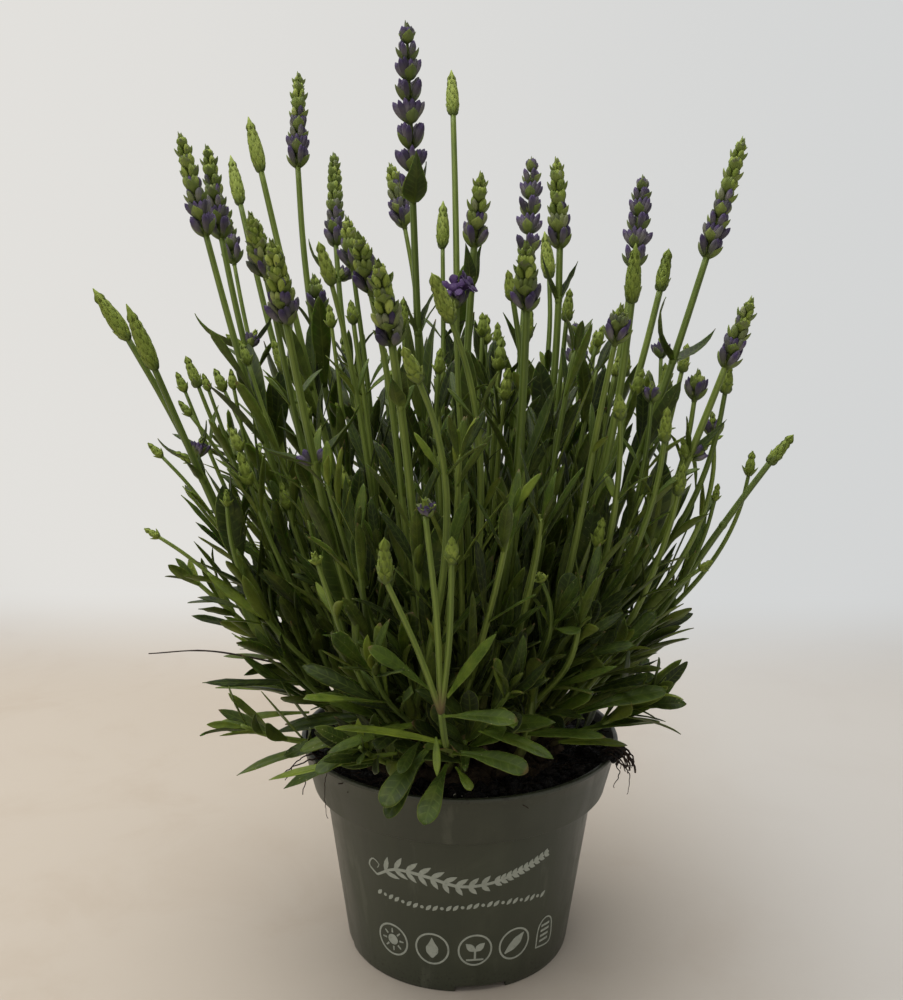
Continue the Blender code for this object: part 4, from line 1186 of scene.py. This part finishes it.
# ---------------------------------------------------------------- the low leaves and branch at the front
def leaf_to(m, base, tip, width, form="spoon", sag=0.5, face=(0, -0.4, 1), fine=3, chance=0.4, twist=0.0, fold=0.2, slot=1):
    """A leaf from base to tip, bowed by the angle sag."""
    base, tip = np.asarray(base, float), np.asarray(tip, float)
    chord = tip - base
    far = float(np.linalg.norm(chord))
    c = unit(chord)
    n = across(c, face)
    # the bent midrib's chord in its own frame, so that the tip lands where it should
    p, _, _, _ = midrib(np.zeros(3), np.array([1.0, 0, 0]), np.array([0, 0, 1.0]), 1.0, sag, 0.0, np.array([1.0]))
    x, z = p[0, 0], p[0, 2]
    a = math.atan2(z, x)
    length = far / math.hypot(x, z)
    d = c * math.cos(-a) + n * math.sin(-a)
    nn = n * math.cos(-a) - c * math.sin(-a)
    leaf(m, base, d, nn, length, width, form, bend=sag, twist=twist, fold=fold, roll=0.1, thick=0.55, chance=chance, fine=fine, ripple=0.03, slot=slot)
    occupy(leaf_points(base, d, nn, length, width, form, sag, twist, 0.0))


m = Mesh()
node, low_node = np.array([-7.0, -88.0, 129.0]), np.array([-5.5, -84.0, 117.0])
foot = stem_foot(math.radians(-97), 40)
stem = Line(np.array([foot, (-3, -52, 99), (-4, -71, 110), low_node, node]), 30)
tube(m, stem.p, np.linspace(1.5, 1.2, 30), 8, 0.1, 0.5, 0)
leaf_to(m, node + (0.5, -0.5, -1), (17, -97, 130), 7.6, "spoon", 0.35, chance=0.46)
leaf_to(m, (-3, -82, 113), (21, -93, 111.5), 8.8, "spoon", 0.5, chance=0.46)
leaf_to(m, low_node + (-0.6, -0.5, 0), (-41, -92, 125), 3.6, "strap", 0.25, chance=0.85, fold=0.5)
leaf_to(m, (-11, -76, 112), (-25, -96, 100.5), 9.0, "spoon", 0.5, chance=0.36)
leaf_to(m, (-13, -72, 106), (-24, -93, 95), 6.6, "spoon", 0.7, chance=0.3)
leaf_to(m, (-5, -76, 106), (-12, -98, 95.5), 7.6, "spoon", 0.6, chance=0.4)
leaf_to(m, (-8.5, -86, 120), (-8, -96, 111), 2.6, "lance", 0.3, chance=0.7)
leaf_to(m, (-2, -80, 107), (3, -89, 103), 3.6, "spoon", 0.4, chance=0.7)
leaf_to(m, (-14, -70, 112), (-20, -92, 110), 4.6, "spoon", 0.5, chance=0.35)
leaf_to(m, (-36, -62, 103), (-62, -66, 92), 5.4, "lance", 0.4, chance=0.4)
leaf_to(m, (-22, -72, 108), (-66, -72, 98), 3.4, "strap", 0.12, chance=0.85, fold=0.5)
leaf_to(m, (-44, -44, 100), (-86, -32, 81), 5.4, "lance", 0.35, chance=0.6)
leaf_to(m, (-28, -62, 110), (-48, -84, 106), 6.8, "spoon", 0.5, chance=0.45)
leaf_to(m, (-16, -70, 118), (-44, -86, 114), 4.6, "strap", 0.3, chance=0.6)
leaf_to(m, (6, -70, 116), (30, -84, 112), 5.2, "strap", 0.4, chance=0.55)
leaf_to(m, (40, -46, 112), (75, -44, 121), 9.2, "spoon", 0.3, chance=0.4)
leaf_to(m, (46, -30, 100), (80, -14, 97), 4.6, "lance", 0.3, chance=0.5)
leaf_to(m, (38, -28, 94), (66, -21, 90), 4.6, "strap", 0.35, chance=0.8)
leaf_to(m, (24, -54, 108), (50, -66, 112), 5.0, "strap", 0.3, chance=0.5)
leaf_to(m, (-58, -30, 106), (-96, -26, 99), 4.0, "lance", 0.3, chance=0.75)
leaf_to(m, (-60, -12, 107), (-100, -4, 106), 3.6, "lance", 0.3, chance=0.7)
leaf_to(m, (-25, -48, 107), (-64, -52, 98), 7.0, "spoon", 0.35, chance=0.35)
leaf_to(m, (-30, -40, 109), (-70, -38, 101), 6.4, "lance", 0.3, chance=0.3)
leaf_to(m, (-32, -34, 106), (-69, -20, 97), 6.0, "lance", 0.3, chance=0.25)
leaf_to(m, (-22, -54, 112), (-56, -66, 106), 6.2, "spoon", 0.4, chance=0.45)
# the stems that rise from the branch, one of them with leaves of its own
for top in ((-24, -100, 176), (-4, -95, 181), (-12, -98, 195)):
    line = Line(np.array([node, (node + np.array(top)) / 2 + (1.0, -1.0, 0), np.array(top)]), 18)
    tube(m, line.p, np.linspace(1.05, 0.8, 18), 8, 0.1, 0.7, 0)
leaf_to(m, node + (-3, -2, 8), (-30, -92, 152), 6.6, "spoon", 0.25, face=(0.4, -0.6, 1), chance=0.5)
leaf_to(m, node + (2, -2, 6), (10, -96, 158), 4.6, "lance", 0.15, face=(-0.6, -0.6, 0.4), chance=0.6)
shown(m.build("front_branch", [M_STALK, M_LEAF]), "leaf")

# broad upright leaves on some of the stalks
m = Mesh()
for key, z, reach, width, chance in (("02", 163, (-5, -6, 31), 10.5, 0.22), ("09", 150, (-9, -5, 27), 9.5, 0.36), ("10", 163, (9, -5, 28), 8.0, 0.3), ("21", 172, (1, -6, 31), 9.4, 0.25),
                                     ("15", 208, (-4, -5, 32), 9.6, 0.2), ("18", 158, (6, -5, 29), 8.4, 0.3), ("04", 205, (4, -5, 30), 8.6, 0.22), ("17", 190, (5, 4, 30), 8.6, 0.25),
                                     ("05", 196, (-4, 6, 30), 8.4, 0.3), ("14", 196, (2, 7, 30), 8.4, 0.3), ("12", 188, (-5, 7, 31), 8.8, 0.3)):
    line = lines["flower_stalk_" + key]
    spots = smooth(line.p, 160)
    base = spots[int(np.argmin(np.abs(spots[:, 2] - z)))]
    out = unit((reach[0], reach[1], 0))
    leaf_to(m, base + out * 1.3, base + np.array(reach, float), width, "lance", 0.22, face=(0.25, -1, 0.25) if reach[1] < 0 else (0, 1, 0.25), chance=chance, fold=0.24, slot=0)
shown(m.build("broad_leaves", [M_LEAF]), "leaf")

# dry twigs at the left
m = Mesh()
for a, b, c in (((-70, -4, 116), (-102, -2, 121), (-128, 0, 119)),):
    line = Line(np.array([a, b, c], float), 18)
    tube(m, line.p, np.linspace(0.45, 0.22, 18), 6, 0, 0.4, 0, wobble=0.08)
shown(m.build("dry_twigs", [M_ROOT]), "old_wood")


# ---------------------------------------------------------------- woody crown
def value_noise(p, scale, seed):
    """Smooth noise at points, from -1 to 1."""
    local = np.random.default_rng(seed)
    grid = local.uniform(-1, 1, (32, 32, 32))
    q = np.asarray(p, float) / scale + 500
    i = np.floor(q).astype(int)
    f = q - i
    f = f * f * (3 - 2 * f)
    out = 0
    for dx in (0, 1):
        for dy in (0, 1):
            for dz in (0, 1):
                g = grid[(i[..., 0] + dx) % 32, (i[..., 1] + dy) % 32, (i[..., 2] + dz) % 32]
                wx = f[..., 0] if dx else 1 - f[..., 0]
                wy = f[..., 1] if dy else 1 - f[..., 1]
                wz = f[..., 2] if dz else 1 - f[..., 2]
                out = out + g * wx * wy * wz
    return out


m = Mesh()
rings, sides = 22, 84
th = np.linspace(0.03, 1, rings)
a = np.arange(sides) * 2 * math.pi / sides
rr = (CROWN_R - 2.5) * np.sin(th[::-1] * math.pi / 2)
zz = SOIL_TOP + 0.1 + (CROWN_H - 2.2) * np.cos(th[::-1] * math.pi / 2)
ring = np.stack([rr[:, None] * np.cos(a), rr[:, None] * np.sin(a), np.repeat(zz[:, None], sides, 1)], axis=-1)
ring[..., 2] += 1.3 * value_noise(ring, 5.0, 3) + 0.7 * value_noise(ring, 1.9, 4)
tint = np.zeros(ring.shape[:2] + (4,))
m.loft(ring, tint)
for k in range(46):
    az, fr = k * golden, 8 + 34 * math.sqrt((k + 0.5) / 46)
    p0, nrm = crown_point(az, fr)
    out = np.array([math.cos(az), math.sin(az), 0])
    lean = 0.25 + 0.9 * fr / 45
    p1 = p0 + (out * math.sin(lean) + np.array([0, 0, 1]) * math.cos(lean)) * uni(7, 13)
    mid = (p0 + p1) / 2 + np.array([uni(-1.2, 1.2), uni(-1.2, 1.2), 0])
    tube(m, smooth(np.array([p0 - nrm * 2, mid, p1]), 9), np.linspace(uni(2.2, 3.0), uni(0.9, 1.5), 9), 9, 0, 0.5, wobble=0.07)
shown(m.build("crown_wood", [M_WOOD]), "old_wood", "woody_crown")

# ---------------------------------------------------------------- soil
m = Mesh()
sides = 150
a = np.arange(sides) * 2 * math.pi / sides
top_r = COLLAR_FOOT_R - (WALL + 0.5) + 3.2
prof = [(BASE_R - 1.8 + 0.6, 4.8), (50.0, 40.0), (WALL_TOP_R - 2.6, 69.0), (COLLAR_FOOT_R - 2.4, 72.4), (COLLAR_FOOT_R + 0.6, 78.0), (top_r, 82.0)]
rows = [np.stack([r * np.cos(a), r * np.sin(a), np.full(sides, z)], -1) for r, z in prof]
for f in np.linspace(0.985, 0.02, 44):
    r = top_r * f
    p = np.stack([r * np.cos(a), r * np.sin(a), np.full(sides, SOIL_TOP + 1.4)], -1)
    heap = np.exp(-(((np.degrees(a) + 60 + 180) % 360 - 180) / 42) ** 2) * np.clip((f - 0.62) / 0.3, 0, 1) * 3.0
    p[:, 2] += 1.5 * value_noise(p, 9, 5) + 1.1 * value_noise(p, 3.4, 6) + 0.7 * value_noise(p, 1.5, 7) + heap
    rows.append(p)
ring = np.array(rows)
tint = np.zeros(ring.shape[:2] + (4,))
m.loft(ring, tint)


def crumb(m, c, size, chance, kind=0.0):
    """A lump of soil or a bead of perlite."""
    n, k = 5, 7
    th = np.linspace(0.18, math.pi - 0.18, n)
    a = np.arange(k) * 2 * math.pi / k
    pts = np.stack([np.sin(th)[:, None] * np.cos(a), np.sin(th)[:, None] * np.sin(a), np.repeat(-np.cos(th)[:, None], k, 1)], -1)
    pts = pts * (1 + 0.25 * rng.standard_normal(pts.shape[:2])[..., None]) * size * np.array([uni(0.8, 1.3), uni(0.8, 1.3), uni(0.6, 1.0)])
    tint = np.zeros(pts.shape[:2] + (4,))
    tint[..., 1] = chance
    tint[..., 3] = kind
    m.loft(pts + np.asarray(c), tint)


for k in range(620):
    az, r = uni(0, 2 * math.pi), 61 * math.sqrt(uni(0.12, 1))
    if rng.random() < 0.35:
        az, r = math.radians(uni(-105, -15)), uni(48, 61)
    heap = math.exp(-(((math.degrees(az) + 60 + 180) % 360 - 180) / 42) ** 2) * min(1, max(0, (r / 61 - 0.62) / 0.3)) * 3.0
    size = float(np.clip(rng.gamma(2.0, 0.42), 0.35, 2.4))
    white = rng.random() < 0.03
    crumb(m, (r * math.cos(az), r * math.sin(az), SOIL_TOP + 1.6 + heap + uni(-0.4, 1.6)), size * (0.5 if white else 1), uni(0, 1) ** 2, 1.0 if white else 0.0)
for k in range(46):
    az, r = math.radians(uni(-31, -15)), uni(61.0, 67.8)
    crumb(m, (r * math.cos(az), r * math.sin(az), 88.6 + uni(-0.4, 1.0) if r > 63 else 86.5 + uni(-1, 1.5)), float(np.clip(rng.gamma(2.0, 0.34), 0.3, 1.4)), uni(0, 0.5))
for k in range(9):
    az = math.radians(uni(-29, -17))
    crumb(m, (66.6 * math.cos(az), 66.6 * math.sin(az), uni(83.5, 88.0)), uni(0.7, 1.3), uni(0, 0.5))
shown(m.build("soil_heap", [M_SOIL]), "soil", "potting_soil")

# fibres, rootlets and bits over the rim
m = Mesh()


def thread(points, r0, r1, n=22, shake=0.5):
    p = smooth(np.array(points, float), n)
    p[1:-1] += rng.normal(0, shake, (n - 2, 3)) * 0.5
    tube(m, smooth(p, n * 2), np.linspace(r0, r1, n * 2), 6, 0, uni(0, 1))


def rim(az, r=66.0, z=88.6):
    az = math.radians(az)
    return (r * math.cos(az), r * math.sin(az), z)


for k in range(70):
    az, r = math.radians(uni(-150, 10)), uni(46, 60)
    c = np.array([r * math.cos(az), r * math.sin(az), SOIL_TOP + uni(2.4, 4.6)])
    d = unit((uni(-1, 1), uni(-1, 1), uni(-0.1, 0.25))) * uni(3, 9)
    thread([c - d, c + (uni(-1, 1), uni(-1, 1), uni(0, 1.4)), c + d], uni(0.14, 0.3), 0.1, 12, 0.3)
for az, drop, out in ((-152, 9, 8), (-148, 5, 13), (-158, 4, 11), (-145, 12, 4)):
    thread([rim(az, 58, 85.5), rim(az, 64.5, 89.4), rim(az - 2, 66.5 + out * 0.5, 88.4 - drop * 0.3), rim(az - 3, 66.5 + out, 88 - drop)], 0.42, 0.16)
thread([rim(-139, 60, 86), rim(-139, 65, 89.4), rim(-138.5, 67.4, 84), rim(-139.4, 66.6, 76), rim(-138, 66.4, 70)], 0.2, 0.1)
for k in range(9):
    az = uni(-31, -15)
    o = uni(1.0, 5.0)
    thread([rim(az, 60, 86), rim(az, 65, 89.6), rim(az + uni(-4, 4), 67.0 + o, 87 - uni(0, 3)), rim(az + uni(-4, 4), 67.5 + o * uni(0.4, 1.2), 84 - uni(0, 6))], uni(0.35, 0.8), 0.14, 16, 0.7)
thread([rim(-20, 66, 89), rim(-19, 69.5, 84), rim(-18, 70.5, 76), rim(-18.4, 70, 70)], 0.3, 0.12)
thread([rim(-22, 60, 88), rim(-21, 66, 90.4), rim(-20, 71, 86), rim(-19, 73, 80)], 1.1, 0.4, 16, 0.5)
thread([rim(-18, 61, 88), rim(-19, 66, 90.2), rim(-21, 70, 87), rim(-22, 71.5, 82)], 0.8, 0.3, 16, 0.6)
shown(m.build("rootlets", [M_ROOT]), "soil")

# ---------------------------------------------------------------- the pot
PROFILE = [
    (0.0, FLOOR_Z + WALL), (20.0, FLOOR_Z + WALL), (BASE_R - WALL - 1.2, FLOOR_Z + WALL), (BASE_R - WALL + 0.1, FLOOR_Z + WALL + 0.5), (BASE_R - WALL + 0.4, FLOOR_Z + WALL + 1.6),
    (WALL_TOP_R - WALL, 69.3), (WALL_TOP_R - WALL + 0.6, 70.0), (COLLAR_FOOT_R - WALL - 0.6, 70.4), (COLLAR_FOOT_R - WALL + 0.1, 71.2),
    (RIM_R - WALL - 0.7, 87.2), (RIM_R - WALL - 0.45, 87.8), (RIM_R - WALL, 88.0), (RIM_R - 0.55, 88.0), (RIM_R - 0.15, 87.85), (RIM_R, 87.45), (RIM_R - 0.05, 86.7),
    (RIM_R - 0.5, 86.2), (COLLAR_FOOT_R + 0.28, 69.2), (COLLAR_FOOT_R + 0.1, 68.5), (COLLAR_FOOT_R - 0.5, 68.08), (WALL_TOP_R + 0.9, 68.0), (WALL_TOP_R + 0.2, 67.8),
    (WALL_TOP_R - 0.1, 67.1), (BASE_R + 0.45, 2.2), (BASE_R + 0.1, 0.5), (BASE_R - 0.25, 0.06), (BASE_R - 0.5, 0.0), (BASE_R - 1.2, 0.0), (BASE_R - 1.5, 0.1), (BASE_R - 1.6, 0.4),
    (BASE_R - 1.6, FLOOR_Z - 0.2), (BASE_R - 1.8, FLOOR_Z), (20.0, FLOOR_Z), (0.0, FLOOR_Z),
]


def lathe(profile, sides):
    """A closed turned mesh from an (r, z) profile that starts and ends on the axis."""
    out, rows = Mesh(), []
    a = np.arange(sides) * 2 * math.pi / sides
    dense = []
    for (r0, z0), (r1, z1) in zip(profile, profile[1:]):
        steps = max(1, int(math.hypot(r1 - r0, z1 - z0) / 5))
        for k in range(steps):
            f = k / steps
            dense.append((r0 + (r1 - r0) * f, z0 + (z1 - z0) * f))
    dense.append(profile[-1])
    dense = [q for q in dense if q[0] > 1e-6]
    ring = np.array([np.stack([r * np.cos(a), r * np.sin(a), np.full(sides, z)], -1) for r, z in dense])
    tint = np.zeros(ring.shape[:2] + (4,))
    out.loft(ring[::-1], tint)
    return out


pot = lathe(PROFILE, 192).build("pot_body", [M_POT])


def cut(obj, tools):
    """The object less the tools, with its modifiers made real."""
    for tool in tools:
        mod = obj.modifiers.new(tool.name, "BOOLEAN")
        mod.operation, mod.object, mod.solver = "DIFFERENCE", tool, "EXACT"
    bpy.context.view_layer.update()
    graph = bpy.context.evaluated_depsgraph_get()
    me = bpy.data.meshes.new_from_object(obj.evaluated_get(graph))
    obj.modifiers.clear()
    obj.data = me
    for tool in tools:
        bpy.data.objects.remove(tool, do_unlink=True)
    return obj


tools = []
for k in range(4):
    a = math.radians(NOTCH_AT + 90 * k)
    bpy.ops.mesh.primitive_cube_add(size=1, location=(BASE_R * MM * math.cos(a), BASE_R * MM * math.sin(a), (NOTCH_H / 2 - 1) * MM))
    c = bpy.context.object
    c.name = f"notch_{k}"
    c.scale = (0.012, NOTCH_W * MM, (NOTCH_H + 2) * MM)
    c.rotation_euler = (0, 0, a)
    tools.append(c)
for k in range(DRAINS):
    a = math.radians(20 + 360 / DRAINS * k)
    bpy.ops.mesh.primitive_cylinder_add(vertices=40, radius=DRAIN_R * MM, depth=0.02,
                                        location=(DRAIN_RING_R * MM * math.cos(a), DRAIN_RING_R * MM * math.sin(a), FLOOR_Z * MM))
    c = bpy.context.object
    c.name = f"drain_{k}"
    tools.append(c)
pot = cut(pot, tools)
pot.data.materials.clear()
pot.data.materials.append(M_POT)
pot.data.polygons.foreach_set("material_index", np.zeros(len(pot.data.polygons), np.int32))
pot.data.shade_smooth()
pot.data.set_sharp_from_angle(angle=math.radians(38))
shown(pot, "pot_plastic", "pot")


# ---------------------------------------------------------------- the pale ornament on the pot's front
def wall_r(z):
    return BASE_R + 0.45 + (WALL_TOP_R - 0.1 - BASE_R - 0.45) * (z - 2.2) / (67.1 - 2.2)


def on_wall(x, z, lift):
    """A point of the flat ornament, x along the wall from the front and z up, laid on the pot's taper."""
    r = wall_r(z) + lift
    a = -math.pi / 2 + np.asarray(x) / 52.0
    return np.stack([r * np.cos(a), r * np.sin(a), z * np.ones_like(r)], -1)


INK = Mesh()


def stroke(points, widths, n=None):
    """A line of ink with a width at each point, as a thin raised strip."""
    p = np.asarray(points, float)
    n = n or max(6, int(np.linalg.norm(np.diff(p, axis=0), axis=1).sum() / 0.9))
    q = smooth(np.column_stack([p, np.zeros(len(p))]), n)[:, :2]
    w = np.interp(np.linspace(0, 1, n), np.linspace(0, 1, len(widths)), widths) / 2
    t = np.gradient(q, axis=0)
    t /= np.linalg.norm(t, axis=1)[:, None] + 1e-12
    s = np.column_stack([-t[:, 1], t[:, 0]])
    l, r = q + s * w[:, None], q - s * w[:, None]
    ring = np.stack([on_wall(l[:, 0], l[:, 1], -0.05), on_wall(l[:, 0], l[:, 1], 0.1), on_wall(r[:, 0], r[:, 1], 0.1), on_wall(r[:, 0], r[:, 1], -0.05)], 1)
    tint = np.zeros(ring.shape[:2] + (4,))
    INK.loft(ring, tint)


def blob(x, z, rx, rz, tilt=0.0, sides=18):
    """A filled oval of ink."""
    a = np.arange(sides) * 2 * math.pi / sides
    ex, ez = rx * np.cos(a), rz * np.sin(a)
    px = x + ex * math.cos(tilt) - ez * math.sin(tilt)
    pz = z + ex * math.sin(tilt) + ez * math.cos(tilt)
    ring = np.array([on_wall(px, pz, -0.05), on_wall(px, pz, 0.1)])
    tint = np.zeros(ring.shape[:2] + (4,))
    INK.loft(ring, tint)


def leaflet(x, z, length, width, tilt):
    c, s = math.cos(tilt), math.sin(tilt)
    stroke([(x, z), (x + c * length * 0.5, z + s * length * 0.5), (x + c * length, z + s * length)], [0.2, width, width * 0.9, 0.15], 9)


def circle(x, z, r, w, sides=44):
    a = np.linspace(0, 2 * math.pi, sides)
    q = np.column_stack([x + r * np.cos(a), z + r * np.sin(a)])
    stroke(np.vstack([q, q[1:3]]), [w, w], sides + 6)


# a long sprig with leaflets and a dotted flower head
stem_line = np.array([(-33, 46.5), (-24, 51.5), (-12, 51.0), (0, 47.8), (12, 48.6), (23, 51.8), (33, 55.5)])
stroke(stem_line, [0.9, 1.35, 1.3, 1.1, 0.8])
fine_stem = smooth(np.column_stack([stem_line, np.zeros(7)]), 30)[:, :2]
for k in range(2, 20, 2):
    x, z = fine_stem[k]
    d = fine_stem[k + 1] - fine_stem[k - 1]
    a0 = math.atan2(d[1], d[0])
    leaflet(x, z, 7.2 - 0.12 * k, 2.0, a0 + 0.75)
    leaflet(x, z, 6.6 - 0.12 * k, 1.9, a0 - 0.8)
for k in range(20, 30, 1):
    x, z = fine_stem[k]
    d = fine_stem[min(29, k + 1)] - fine_stem[k - 1]
    a0 = math.atan2(d[1], d[0])
    for sgn in (1, -1):
        leaflet(x + 0.3, z, 3.4 - 0.09 * (k - 20), 1.6, a0 + sgn * 0.72)
blob(34.2, 56.1, 1.2, 0.8, 0.4)
stroke([(-33, 46.5), (-36.5, 49.5), (-34.5, 53.0), (-31.6, 51.4), (-32.6, 49.6)], [0.8, 0.7, 0.5, 0.3])
# a row of small leaves and dots under it
for k in range(27):
    x = -32.5 + k * 2.6
    z = 38.4 + 0.9 * math.sin(0.12 * x)
    if k % 3 == 1:
        blob(x, z, 0.7, 0.7, 0, 12)
    else:
        leaflet(x - 1.0, z - 1.1, 3.1, 1.5, 0.85)
# medallions with plain signs: sun, drop, sprout, leaf, and an arch
for x, sign in ((-28.2, "sun"), (-10.8, "drop"), (6.7, "sprout"), (23.7, "leaf")):
    z = 19.2
    circle(x, z, 6.7, 0.75)
    if sign == "sun":
        blob(x, z, 2.3, 2.3)
        for k in range(8):
            a = k * math.pi / 4
            stroke([(x + 3.1 * math.cos(a), z + 3.1 * math.sin(a)), (x + 5.0 * math.cos(a), z + 5.0 * math.sin(a))], [0.8, 0.5], 4)
    elif sign == "drop":
        stroke([(x, z + 5.0), (x, z + 1.8), (x, z - 4.0)], [0.2, 2.2, 5.2, 4.8, 0.8], 16)
    elif sign == "sprout":
        stroke([(x, z - 4.4), (x, z + 0.6)], [0.9, 0.8], 6)
        leaflet(x, z - 0.6, 5.2, 2.9, 0.75)
        leaflet(x, z - 0.6, 5.2, 2.9, math.pi - 0.75)
        stroke([(x - 3.6, z - 4.4), (x + 3.6, z - 4.4)], [0.8, 0.8], 6)
    else:
        stroke([(x - 4.2, z - 3.6), (x, z), (x + 3.9, z + 4.1)], [0.5, 3.6, 4.0, 0.3], 14)
stroke([(35.4, 13.0), (35.4, 20.6), (36.8, 24.2), (39.6, 25.6), (42.4, 24.2), (43.8, 20.6), (43.8, 13.0), (35.4, 13.0)], [0.6, 0.6])
for k in range(4):
    stroke([(37.2, 15.4 + 2.3 * k), (42.0, 15.4 + 2.3 * k)], [1.0, 1.0], 5)
ink = INK.build("pot_ornament", [M_PRINT])
ink.data.set_sharp_from_angle(angle=math.radians(40))
shown(ink, "pot_plastic")

# ---------------------------------------------------------------- floor, light and camera
LEFT, RIGHT, DIM = (0.765, 0.75, 0.72, 1.0), (0.655, 0.665, 0.665, 1.0), (0.33, 0.33, 0.328, 1.0)


def backdrop(tree, way):
    """The studio's backdrop by direction: pale, a little warmer on the left than on the right, and dim behind the viewer."""
    sep = tree.nodes.new("ShaderNodeSeparateXYZ")
    tree.links.new(way, sep.inputs[0])

    def share(socket, lo, hi):
        n = tree.nodes.new("ShaderNodeMapRange")
        n.interpolation_type = "SMOOTHSTEP"
        n.inputs["From Min"].default_value, n.inputs["From Max"].default_value = lo, hi
        tree.links.new(socket, n.inputs["Value"])
        return n.outputs[0]

    def blend(fac, a, b):
        n = tree.nodes.new("ShaderNodeMix")
        n.data_type = "RGBA"
        tree.links.new(fac, n.inputs[0])
        for socket, value in ((n.inputs[6], a), (n.inputs[7], b)):
            if isinstance(value, bpy.types.NodeSocket):
                tree.links.new(value, socket)
            else:
                socket.default_value = value
        return n.outputs[2]

    bright = blend(share(sep.outputs[0], -0.5, 0.5), LEFT, RIGHT)
    return blend(share(sep.outputs[1], 0.25, 0.85), DIM, bright)


def floor_material():
    k = Mat("studio_floor", 0.75, 0.2)
    sep = k.t.nodes.new("ShaderNodeSeparateXYZ")
    k.t.links.new(k.coord, sep.inputs[0])
    soft = k.noise(1.6, 3, 0.5)
    stain = k.noise(14, 5, 0.65, distortion=0.5)
    warm = k.ramp(soft, [(0.3, srgb(182, 171, 157)), (0.7, srgb(190, 180, 167))])
    warm = k.mix(k.math("MULTIPLY", k.span(stain, 0.45, 0.75), 0.3), warm, srgb(172, 156, 138))
    # painted light: the floor right of the pot is paler and greyer, where the plant's shadow from the key on the left
    # falls
    warm = k.mix(k.math("MULTIPLY", k.span(sep.outputs[0], 0.02, 0.2), 0.6), warm, srgb(198, 198, 197))
    k.finish(warm, k.span(soft, 0.3, 0.7, 0.7, 0.8))
    # far off, the floor passes into the backdrop
    norm = k.t.nodes.new("ShaderNodeVectorMath")
    norm.operation = "NORMALIZE"
    k.t.links.new(k.coord, norm.inputs[0])
    glow = backdrop(k.t, norm.outputs[0])
    length = k.t.nodes.new("ShaderNodeVectorMath")
    length.operation = "LENGTH"
    k.t.links.new(k.coord, length.inputs[0])
    far = k.math("MAXIMUM", k.span(sep.outputs[1], 0.26, 0.56), k.span(length.outputs["Value"], 0.8, 2.6))
    light = k.t.nodes.new("ShaderNodeEmission")
    k.t.links.new(glow, light.inputs[0])
    both = k.t.nodes.new("ShaderNodeMixShader")
    k.t.links.new(far, both.inputs[0])
    k.t.links.new(k.bsdf.outputs[0], both.inputs[1])
    k.t.links.new(light.outputs[0], both.inputs[2])
    k.t.links.new(both.outputs[0], k.t.nodes["Material Output"].inputs[0])
    return k.m


sides, radii = 96, [0.1, 0.25, 0.45, 0.7, 1.0, 1.5, 2.5, 4.5, 9.0, 20.0, 45.0]
a = np.arange(sides) * 2 * math.pi / sides
ringv = np.array([np.stack([r * np.cos(a), r * np.sin(a), np.zeros(sides)], -1) for r in radii]).reshape(-1, 3)
n = len(radii)
idx = np.arange(n * sides).reshape(n, sides)
nx = np.roll(idx, -1, axis=1)
quads = np.stack([idx[:-1], idx[1:], nx[1:], nx[:-1]], -1).reshape(-1, 4)
verts = np.vstack([ringv, [[0, 0, 0]]])
faces = [tuple(q) for q in quads.tolist()] + [(n * sides, int(idx[0, k]), int(nx[0, k])) for k in range(sides)]
me = bpy.data.meshes.new("studio_floor")
me.from_pydata(verts.tolist(), [], faces)
me.update()
me.materials.append(floor_material())
floor = bpy.data.objects.new("studio_floor", me)
bpy.context.scene.collection.objects.link(floor)

world = bpy.data.worlds.new("studio")
bpy.context.scene.world = world
world.use_nodes = True
nt = world.node_tree
back = nt.nodes["Background"]
coord = nt.nodes.new("ShaderNodeTexCoord")
nt.links.new(backdrop(nt, coord.outputs["Generated"]), back.inputs[0])
back.inputs[1].default_value = 1.0


def area(name, place, target, size, energy, colour=(1, 1, 1)):
    light = bpy.data.lights.new(name, "AREA")
    light.shape, light.size, light.energy, light.color = "SQUARE", size, energy, colour
    obj = bpy.data.objects.new(name, light)
    obj.location = place
    obj.rotation_mode = "QUATERNION"
    obj.rotation_quaternion = (Vector(target) - Vector(place)).to_track_quat("-Z", "Y")
    obj.visible_camera = False
    bpy.context.scene.collection.objects.link(obj)
    return obj


area("key", (-0.28, 0.0, 1.25), (0, 0, 0.12), 1.5, 21, (1.0, 0.985, 0.96))
area("fill", (-0.6, -1.2, 0.7), (0, 0, 0.18), 0.8, 2.0, (0.98, 0.99, 1.0))

camera = bpy.data.cameras.new("camera")
camera.lens, camera.sensor_width, camera.sensor_fit = 36.0, 36.0, "AUTO"
camera.clip_start, camera.clip_end = 0.01, 100
cam = bpy.data.objects.new("camera", camera)
pitch, roll = math.radians(9.35), math.radians(0.51)
fw = Vector((0, math.cos(pitch), -math.sin(pitch)))
up = Vector((0, math.sin(pitch), math.cos(pitch)))
rt = Vector((1, 0, 0))
right = rt * math.cos(roll) + up * math.sin(roll)
above = up * math.cos(roll) - rt * math.sin(roll)
back = -fw
cam.matrix_world = Matrix(((right.x, above.x, back.x, -0.0042), (right.y, above.y, back.y, -0.3946), (right.z, above.z, back.z, 0.249), (0, 0, 0, 1)))
bpy.context.scene.collection.objects.link(cam)
bpy.context.scene.camera = cam
bpy.context.scene.view_settings.view_transform = "Standard"
